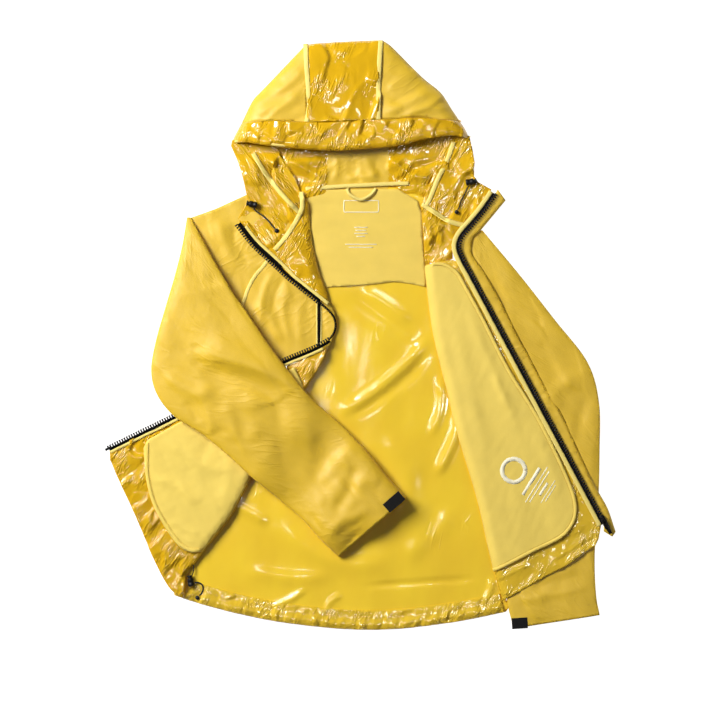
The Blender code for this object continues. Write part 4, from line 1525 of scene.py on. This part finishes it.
        bend = (RIGHT_CHAIN[:, 0] > -76) & (RIGHT_CHAIN[:, 1] > -9)
        first, last = np.flatnonzero(bend)[[0, -1]]
        half = first // 2
        runs = (
            (RIGHT_CHAIN[: half + 1], 4.8, 6.6),
            (RIGHT_CHAIN[half : first + 1], 3.6, 4.2),
            (RIGHT_CHAIN[first : last + 1], 1.4, 2.0),
            (RIGHT_CHAIN[last:], 3.8, 4.6),
        )
        rows, tapes = [], []
        for i, (run, shift, width) in enumerate(runs):
            turned_on_edge = i == 2
            line = resample(run, 2.0)[::-1]
            shape = EDGE_TEETH if turned_on_edge else TEETH
            points = np.column_stack([line, np.full(len(line), 17.8)])
            rows.append(repeat(f"right_zip_teeth_row_{i}", points, shape, finish("teeth")))
            made = ribbon(
                f"right_zip_tape_{i}", beside(run, shift), width, level, [finish("zip_tape")], 0.2, 0.6
            )
            tapes.append(made)
        trim(joined("right_zip_tape_cloth", tapes), ROOT, ["right_zip_tape"])
        trim(joined("right_zip_teeth_row", rows), ROOT, ["right_zip_teeth"])
        upper = np.vstack([beside(RIGHT_CHAIN, 10.4)[1:12], beside(RIGHT_CHAIN, 8.4)[13:24]])
        made = ribbon(
            "lapel_zip_facing", upper, 6.0, lambda p: self.lapel_height(p) * 0.3 + 11.4, [finish("tape")],
            0.5
        )
        trim(made, ROOT)
        lower = beside(RIGHT_CHAIN, 8.6)[38:]
        made = ribbon(
            "turned_zip_facing", lower, 5.0, lambda p: self.facing_height(p) * 0.2 + 13.6, [finish("tape")],
            0.5
        )
        trim(made, ROOT)
        trim(refined("insertion_pin", "zip_insertion_pin", finish("metal")), ROOT)
        pocket = np.array([(-70, 88), (-70, -17)], float)
        made = ribbon("pocket_zip_cloth", pocket, 3.4, z_level(9.6), [finish("zip_tape")], 0.5, 1.0)
        trim(made, ROOT, ["pocket_zip"])
        for name, shift in (("pocket_welt_left", 3.4), ("pocket_welt_right", -3.4)):
            made = ribbon(
                name, beside(pocket, shift), 3.0, lambda p: chest_height(p) + 0.6, [finish("tape")], 0.5
            )
            trim(made, ROOT)
        trim(
            refined("pocket_slider_body", "pocket_slider", finish("metal"), 0.15), "pocket_zip_slider",
        )
        trim(
            refined("pocket_slider_pull", "pocket_pull", finish("metal"), 0.15), "pocket_zip_slider",
        )


class JACKET_OT_left_front(bpy.types.Operator):
    """Makes the wearer's left front: facing, pocket bag, zip and storm flap"""

    bl_idname = "jacket.left_front"
    bl_label = "Left front"

    def execute(self, context):
        spacing = settings()[1].mesh_spacing / MM
        chain = np.array([CHAIN_TOP, CHAIN_BOTTOM])
        inner = beside(chain, -7.0)
        ring = [
            *FRONT_EDGE[2:], (233, -436), (260, -421), (300, -398), (340, -377), (384, -346), (390, -334),
            inner[1], inner[0], (166, 118), (150, 124), (120, 120)
        ]
        made = panel(
            "left_facing_cloth", ring, self.facing_height, 2.8, [finish("hem_film"), finish("shell")], 0.8
        )
        cloth(
            made, ring, front_bend(), ["left_front_shell"],
        )
        ring = LEFT_BAG
        made = panel("left_bag_cloth", ring, self.bag_height, spacing, [finish("bag")], 0.7)
        replaced = ["left_pocket_bag", "left_side_panel"]
        cloth(
            made, ring, front_bend(), replaced,
        )
        outline = np.vstack([BAG_ARC[3:], BAG_EDGE])
        made = ribbon("left_bag_binding", beside(outline, -2.2), 5.6, self.bag_height, [finish("bag")], 0.9)
        trim(made, front_bend())
        line = beside(outline, -6.4)[2:-2]
        trim(
            stitches("left_bag_stitches", line, self.bag_height, finish("thread"), 0.2), front_bend(),
        )
        self.zip()
        return {"FINISHED"}

    @staticmethod
    def facing_height(p):
        near, _, _ = near_path(p, FRONT_EDGE)
        roll = np.clip(1 - near / 14, 0, 1) ** 2
        beside_chain = [CHAIN_TOP - (20, 10), CHAIN_BOTTOM - (20, 10)]
        slack = np.where(inside(p, LEFT_BAG), 0.15, 1.0) * calm(p, beside_chain, 26)
        creased = facets(p, 16, 0.24, 93, along=3.2, direction=30) + crumple(p, 20, 0.6, 93)
        return 12.2 - 6.0 * roll + slack * creased

    @staticmethod
    def bag_height(p):
        near, _, _ = near_path(p, FRONT_EDGE)
        roll = np.clip(1 - near / 16, 0, 1) ** 2
        placed = [
            ([(170, 60), (200, -20), (236, -100), (262, -170)], 9, 1.6),
            ([(215, -60), (235, -105), (250, -125)], 6, 1.8),
            ([(150, 60), (165, -30), (190, -140), (215, -260)], 12, 1.5),
            ([(285, -150), (310, -210), (330, -270)], 10, 1.4),
        ]
        return (
            15.6 - 7.0 * roll + folds(p, placed)
            + drape(p, 45, 160, 118, 1.2, 97)
            + drape(p, 10, 30, 60, 0.3, 98)
        )

    def zip(self):
        chain = np.vstack([COLLAR_CHAIN, smooth([COLLAR_CHAIN[-1], CHAIN_TOP], 3)[1:], CHAIN_BOTTOM])
        chain = resample(chain, 4.0)
        level = z_level(15.6)
        made = ribbon("main_zip_tape_cloth", beside(chain, -3.6), 4.8, level, [finish("zip_tape")], 0.2, 0.6)
        trim(made, collar_bend(), ["left_zip_tape"])
        points = np.column_stack([chain[::-1], np.full(len(chain), 15.9)])
        teeth = repeat("main_zip_teeth_row", points, TEETH, finish("teeth"))
        trim(teeth, collar_bend(), ["left_zip_teeth", "collar_zip"])
        facing = beside(chain, -9.6)
        made = ribbon("main_zip_facing", facing, 7.6, z_level(15.4), [finish("tape")], 0.6)
        trim(made, collar_bend(), ["left_zip_facing"])
        outer = smooth(
            [
                (237, 222), (213, 193), (198, 175), (190, 166), (183, 158), (181, 140), (185, 128),
                (200, 108), (222, 70), (240, 35), (260, -5), (280, -42), (303, -85), (330, -130),
                (355, -185), (378, -235), (390, -258), (405, -285), (418, -323),
            ]
        )
        ring = [*outer, (412, -331), (398, -322), *beside(chain, -2.0)[::-1], (224, 240)]

        def flap_height(p):
            near, _, _ = near_path(p, outer)
            wrinkles = drape(p, 7, 26, 20, 0.7, 99) + drape(p, 16, 60, 118, 0.8, 96)
            return 12.9 - 2.4 * np.clip(1 - near / 7, 0, 1) ** 2 + calm(p, outer, 6) * wrinkles

        made = panel("storm_flap_cloth", ring, flap_height, 3.0, [finish("shell")], 0.8)
        replaced = ["left_storm_flap", "collar_storm_flap"]
        cloth(
            made, ring, collar_bend(), replaced,
            cut=(30.0, 640.0)
        )
        trim(
            stitches("storm_flap_stitches", beside(outer, -3.5)[2:-2], flap_height, finish("thread"), 0.2),
            collar_bend()
        )
        trim(refined("retainer_box", "zip_retainer_box", finish("metal")), FRONT)
        trim(refined("slider_body", "main_slider", finish("metal")), "main_zip_slider")
        trim(refined("slider_pull", "main_pull", finish("metal"), 0.3), "main_zip_pull")


class JACKET_OT_sleeves(bpy.types.Operator):
    """Makes both sleeves, with their cuffs and cuff tabs"""

    bl_idname = "jacket.sleeves"
    bl_label = "Sleeves"

    def execute(self, context):
        self.right()
        self.left()
        return {"FINISHED"}

    @staticmethod
    def right():
        lefts = [
            (-287, 194), (-294, 150), (-306, 100), (-321, 48), (-337, -8), (-345, -58), (-335, -98),
            (-307, -133), (-262, -162), (-221, -195), (-181, -232), (-140, -266), (-100, -300),
            (-70, -333), (-38, -364),
        ]
        rights = [
            (-281, 194), (-262, 160), (-238, 116), (-212, 72), (-184, 32), (-160, -4), (-138, -34),
            (-116, -62), (-94, -90), (-70, -115), (-44, -137), (-16, -164), (14, -196), (42, -231),
            (73, -266),
        ]
        placed = [
            ([(-292, -24), (-255, -30), (-205, -42), (-150, -60), (-108, -84), (-78, -116)], 26, 10.0, 0.5),
            ([(-268, -54), (-215, -68), (-160, -90), (-120, -118)], 13, -3.0),
            ([(-330, -60), (-300, -80), (-270, -92), (-236, -98)], 12, 3.5),
            ([(-285, -92), (-264, -106), (-250, -136), (-246, -168)], 5, 2.0, 0.4),
            ([(-292, -108), (-276, -124), (-266, -146)], 6, -1.8),
            ([(-190, -92), (-178, -130), (-172, -180)], 13, 3.6),
            ([(-150, -96), (-136, -130), (-130, -190), (-118, -240)], 12, -2.6),
            ([(-112, -110), (-84, -160), (-88, -215), (-100, -262)], 16, 3.0),
            ([(-66, -250), (-46, -212), (-22, -190), (-4, -178)], 12, 4.0, -0.3),
            ([(-50, -296), (-30, -270), (-14, -238), (-14, -206)], 10, -4.0),
            ([(-20, -250), (8, -236), (36, -240)], 14, 3.0),
            ([(-96, -296), (-88, -318), (-72, -330)], 4, 1.8),
            ([(-84, -290), (-72, -312), (-60, -322)], 4, -1.6),
            ([(-60, -336), (-40, -310), (-20, -300), (20, -282)], 8, 1.8),
            ([(-42, -336), (-28, -320), (10, -300)], 5, -1.4),
            ([(-230, -110), (-214, -150), (-216, -180)], 12, 2.4),
            ([(-288, 150), (-300, 80), (-312, 20)], 16, 2.0),
            ([(-250, 110), (-222, 50), (-196, 5)], 18, -2.0),
            ([(-270, -8), (-268, -40), (-262, -58)], 7, -2.0),
        ]

        def relief(p):
            waves = drape(p, 42, 110, 135, 1.8, 101) + facets(p, 34, 0.1, 105, along=2.2, direction=125)
            return folds(p, placed) + waves

        def lean(p):
            distance, _, side = near_path(p, FRONT_FOLD)
            past = np.clip(distance * side, 0, None)
            from_tab = np.clip((np.linalg.norm(p - (42, -262), axis=1) - 30) / 60, 0, 1)
            cuff = np.clip((p @ (0.75, -0.66) - 165) / 45, 0, 1) * from_tab**2 * (3 - 2 * from_tab)
            under = 14 * (1 - np.exp(-((past / 35) ** 2)))
            return under, np.maximum(14 * np.exp(-(((past - 80) / 46) ** 2)), 13 * cuff * cuff)

        bottom = ([0, 0.12, 0.2, 1], [8, 14, 20.2, 20.2])
        top = ([0, 0.05, 0.2, 0.45, 0.9, 1], [12, 22, 34, 36, 34, 32])
        made = loft(
            "right_sleeve_cloth", lefts, rights, bottom, top, relief, [finish("shell"), finish("film")],
            lean, edge_height=0.25
        )
        nodes = [
            "right_upper_arm_upper", "right_upper_arm_under", "right_forearm_upper", "right_forearm_under",
            "right_cuff"
        ]
        trim(made, elbow_bend(), nodes)
        tab = refined("right_cuff_tab_pad", "right_cuff_tab", finish("hook"), 0.5)
        trim(tab, "right_cuff_closure")

    @staticmethod
    def left():
        lefts = [
            (174, 172), (160, 90), (158, 30), (172, -40), (190, -120), (206, -200), (222, -290),
            (234, -380), (240, -440), (250, -482)
        ]
        rights = [
            (199, 173), (260, 100), (318, 26), (372, -44), (391, -110), (392, -190), (390, -270),
            (384, -360), (386, -425), (392, -460)
        ]
        placed = [
            ([(214, 140), (262, 84), (320, 10), (372, -48)], 17, 2.6),
            ([(208, 110), (246, 50), (286, -20), (318, -90)], 14, -2.4),
            ([(392, -60), (350, -70), (318, -100), (304, -140)], 13, 2.8),
            ([(386, -80), (362, -130), (352, -200)], 11, -2.2),
            ([(392, -150), (378, -220), (384, -300)], 9, 1.8),
            ([(240, -442), (300, -428), (350, -420), (388, -402)], 6, 1.6),
            ([(252, -424), (310, -408), (372, -392)], 8, -1.6),
            ([(290, -446), (300, -424), (326, -402)], 7, 1.4),
        ]

        def relief(p):
            creased = facets(p, 30, 0.1, 112, along=2.6, direction=115)
            return folds(p, placed) * 0.7 + drape(p, 34, 90, 100, 0.9, 111) + creased

        bottom = ([0, 1], [0.6, 0.6])
        top = ([0, 0.3, 0.85, 1], [9.0, 10.4, 10.8, 12.5])
        made = loft(
            "left_sleeve_cloth", lefts, rights, bottom, top, relief, [finish("shell"), finish("film")]
        )
        trim(made, ROOT, ["left_sleeve_upper", "left_sleeve_under", "left_cuff"])
        tab = refined("left_cuff_tab_pad", "left_cuff_tab", finish("hook"), 0.5)
        trim(tab, "left_cuff_closure")


class JACKET_OT_cords(bpy.types.Operator):
    """Makes the cord locks, the cord tails with their beads, and the held drawcords"""

    bl_idname = "jacket.cords"
    bl_label = "Cords and locks"

    def execute(self, context):
        locks = {
            "hood_lock_right": ((-178, 215, 15.8), 168),
            "hood_lock_left": ((178, 252, 13.0), 10),
            "hem_lock": ((-281, -406, 8.6), 100),
        }
        body_profile = [
            (-6.5, 1.6), (-6.5, 4.3), (-5.9, 5.0), (-4.6, 5.2), (-1.9, 5.2), (-1.4, 4.8), (1.4, 4.8),
            (1.9, 5.2), (5.4, 5.2), (6.2, 4.9), (6.5, 4.5), (6.5, 4.0), (-4.0, 4.0), (-4.0, 1.6),
        ]
        button_profile = [
            (-1.5, 0), (-1.5, 3.4), (9.0, 3.4), (9.3, 4.3), (9.7, 4.6), (10.6, 4.6), (11.1, 4.1),
            (11.2, 3.0), (10.9, 0)
        ]
        for name, (place, degrees) in locks.items():
            way = (math.cos(math.radians(degrees)), math.sin(math.radians(degrees)), 0)
            trim(
                lathe(f"{name}_barrel", body_profile, place, way, finish("lock")), ROOT,
                [f"{name}_body"]
            )
            made = lathe(f"{name}_plunger", button_profile, place, way, finish("lock"))
            trim(made, f"{name}_press", [f"{name}_button"])
        rest = 1.6
        for name, (route, start, floor, bead_place) in CORD_PATHS.items():
            low = floor + rest
            fall = [start - 0.8, low + 1.6, *[low] * (len(route) - 3), low + 0.6]
            points = smooth([(*p, h) for p, h in zip(route, fall)], 6)
            self.cord(name, points, floor, bead_place)
        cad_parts["hem_drawcord"].data.materials.clear()
        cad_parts["hem_drawcord"].data.materials.append(finish("cord"))
        line = beside(BRIM_EDGE, 7)[1:-1]
        hidden = tube(
            "hood_drawcord_braid", np.column_stack([line, hood_height(line) - 4.5]), 1.0, finish("cord")
        )
        trim(bake_modifiers(hidden), CROWN, ["hood_drawcord"])
        tether = smooth([(-286, -366, 12.5), (-279, -372, 9.5), (-276, -384, 8.6), (-279, -396, 8.6)], 6)
        made = bake_modifiers(tube("hem_lock_tether", tether, 0.9, finish("cord")))
        trim(made, ROOT)
        loop = smooth([(-24, 242, 7.0), (-19, 232, 8.6), (-2, 223.5, 9.4), (15, 231, 8.6), (24, 242, 7.0)], 6)
        made = strap("hanger_strap", loop, 5.0, 1.2, finish("tape"))
        trim(made, "hanging_loop", ["hanger_loop"])
        return {"FINISHED"}

    @staticmethod
    def cord(name, points, floor, bead_place):
        made = tube(f"{name}_braid", points, 1.2, finish("cord"))
        profile = [
            (-3.4, 0), (-3.3, 1.3), (-2.6, 2.6), (-1.0, 3.5), (1.0, 3.5), (2.6, 2.8), (3.3, 1.6), (3.4, 0)
        ]
        way = Vector((*(np.array(bead_place) - np.array(points[-1][:2])), 0)).normalized()
        bead = lathe(f"{name}_toggle", profile, (*bead_place, floor + 4.0), way, finish("lock"), 24)
        trim(made, ROOT, [name])
        trim(bead, ROOT, [f"{name}_bead"])
        [float(c) * MM for c in points[0]]


def tube(name, points, radius, material):
    """A round curve along millimetre points."""
    curve = bpy.data.curves.new(name, "CURVE")
    curve.dimensions = "3D"
    curve.bevel_depth, curve.bevel_resolution, curve.use_fill_caps = radius * MM, 3, True
    spline = curve.splines.new("POLY")
    spline.points.add(len(points) - 1)
    for point, place in zip(spline.points, points):
        point.co = (*(Vector(place) * MM), 1.0)
    curve.materials.append(material)
    return add_object(name, curve)


def strap(name, points, width, thickness, material):
    """A flat strap on edge-to-edge millimetre points that run in space."""
    line = np.array(points, float)
    sides = beside(line[:, :2], width / 2), beside(line[:, :2], -width / 2)
    vertices, faces = [], []
    for i, (left, right) in enumerate(zip(*sides)):
        z = line[i, 2]
        vertices += [(*left, z), (*right, z), (*right, z - thickness), (*left, z - thickness)]
        if i:
            a, b = 4 * (i - 1), 4 * i
            faces += [(a + j, a + (j + 1) % 4, b + (j + 1) % 4, b + j) for j in range(4)]
    faces += [(0, 1, 2, 3), (b + 3, b + 2, b + 1, b)]
    flat = np.repeat(line[:, :2], 4, axis=0)
    made = mesh_object(name, vertices, faces, [material], flat=flat)
    bm = bmesh.new()
    bm.from_mesh(made.data)
    bmesh.ops.recalc_face_normals(bm, faces=bm.faces)
    bm.to_mesh(made.data)
    bm.free()
    return made


class JACKET_OT_stage(bpy.types.Operator):
    """Makes the floor, the soft lights and the camera"""

    bl_idname = "jacket.stage"
    bl_label = "Stage"

    def execute(self, context):
        studio = settings()[2]
        floor_finish = Finish("Floor", roughness=1.0, Specular_IOR_Level=0.0)
        floor_finish.set(Base_Color=(0.3, 0.3, 0.3, 1), Emission_Color=(1, 1, 1, 1), Emission_Strength=1.0)
        half = 8.0
        corners = [(-half, -half), (half, -half), (half, half), (-half, half)]
        floor = mesh_object(
            "floor", [(x / MM, y / MM, -0.6) for x, y in corners], [(0, 1, 2, 3)], [floor_finish.material]
        )
        key, fill, window = studio.key_light, studio.fill_light, studio.window_light
        self.light("Key softbox", (-2.4, 1.5, 2.4), (1.8, 1.5), key, shines=False)
        self.light("Key glint", (-2.4, 1.5, 2.4), (0.6, 0.5), key * 9, lights=False)
        self.light("Fill softbox", (2.4, -0.3, 2.4), (1.7, 1.7), fill, shines=False)
        for name, place, size in (
            ("Left window", (-1.1, 0.85, 3.0), (0.34, 0.34)),
            ("Right window", (1.25, -0.3, 3.0), (0.2, 0.42)),
            ("Left strip", (-0.85, 0.0, 3.3), (0.05, 1.3)),
            ("Top strip", (0.0, 0.95, 3.3), (1.3, 0.05)),
        ):
            self.light(name, place, size, window, lights=False)
        world = bpy.data.worlds.new("Studio air")
        world.use_nodes = True
        world.node_tree.nodes["Background"].inputs["Color"].default_value = (1, 1, 1, 1)
        world.node_tree.nodes["Background"].inputs["Strength"].default_value = studio.air
        context.scene.world = world
        camera = bpy.data.objects.new("Camera", bpy.data.cameras.new("Camera"))
        context.scene.collection.objects.link(camera)
        camera.location = (-0.0058, -0.038, studio.camera_height)
        camera.data.sensor_width = 36.0
        camera.data.lens = 36.0 * studio.camera_height / studio.view_width
        camera.data.clip_end = 50.0
        context.scene.camera = camera
        context.scene.view_settings.view_transform = "Standard"
        return {"FINISHED"}

    @staticmethod
    def light(name, place, size, brightness, shines=True, lights=True):
        data = bpy.data.lights.new(name, "AREA")
        data.shape, data.size, data.size_y = "RECTANGLE", *size
        data.energy = math.pi * size[0] * size[1] * brightness
        made = bpy.data.objects.new(name, data)
        bpy.context.scene.collection.objects.link(made)
        made.location = place
        made.rotation_euler = (-Vector(place)).to_track_quat("-Z", "Y").to_euler()
        made.visible_camera = False
        made.visible_glossy = shines
        made.visible_diffuse = lights


OPERATORS = (
    JACKET_OT_stage,
    JACKET_OT_cords,
    JACKET_OT_back,
    JACKET_OT_prints,
    JACKET_OT_hood,
    JACKET_OT_right_front,
    JACKET_OT_left_front,
    JACKET_OT_sleeves,
)


class JACKET_PT_sidebar(bpy.types.Panel):
    bl_idname = "JACKET_PT_sidebar"
    bl_label = "Hardshell jacket"
    bl_space_type = "VIEW_3D"
    bl_region_type = "UI"
    bl_category = "Jacket"

    def draw(self, context):
        for group in settings():
            box = self.layout.box()
            for name in group.__annotations__:
                box.prop(group, name)
        for operator in OPERATORS:
            self.layout.operator(operator.bl_idname)


CLASSES = (JacketColours, JacketSizes, StudioSettings, *OPERATORS, JACKET_PT_sidebar)


def register():
    for cls in CLASSES:
        bpy.utils.register_class(cls)
    bpy.types.Scene.jacket_colours = PointerProperty(type=JacketColours)
    bpy.types.Scene.jacket_sizes = PointerProperty(type=JacketSizes)
    bpy.types.Scene.jacket_studio = PointerProperty(type=StudioSettings)


def unregister():
    del bpy.types.Scene.jacket_studio
    del bpy.types.Scene.jacket_sizes
    del bpy.types.Scene.jacket_colours
    for cls in reversed(CLASSES):
        bpy.utils.unregister_class(cls)


def main():
    register()
    for operator in OPERATORS:
        module, name = operator.bl_idname.split(".")
        getattr(getattr(bpy.ops, module), name)()


if __name__ == "__main__":
    main()
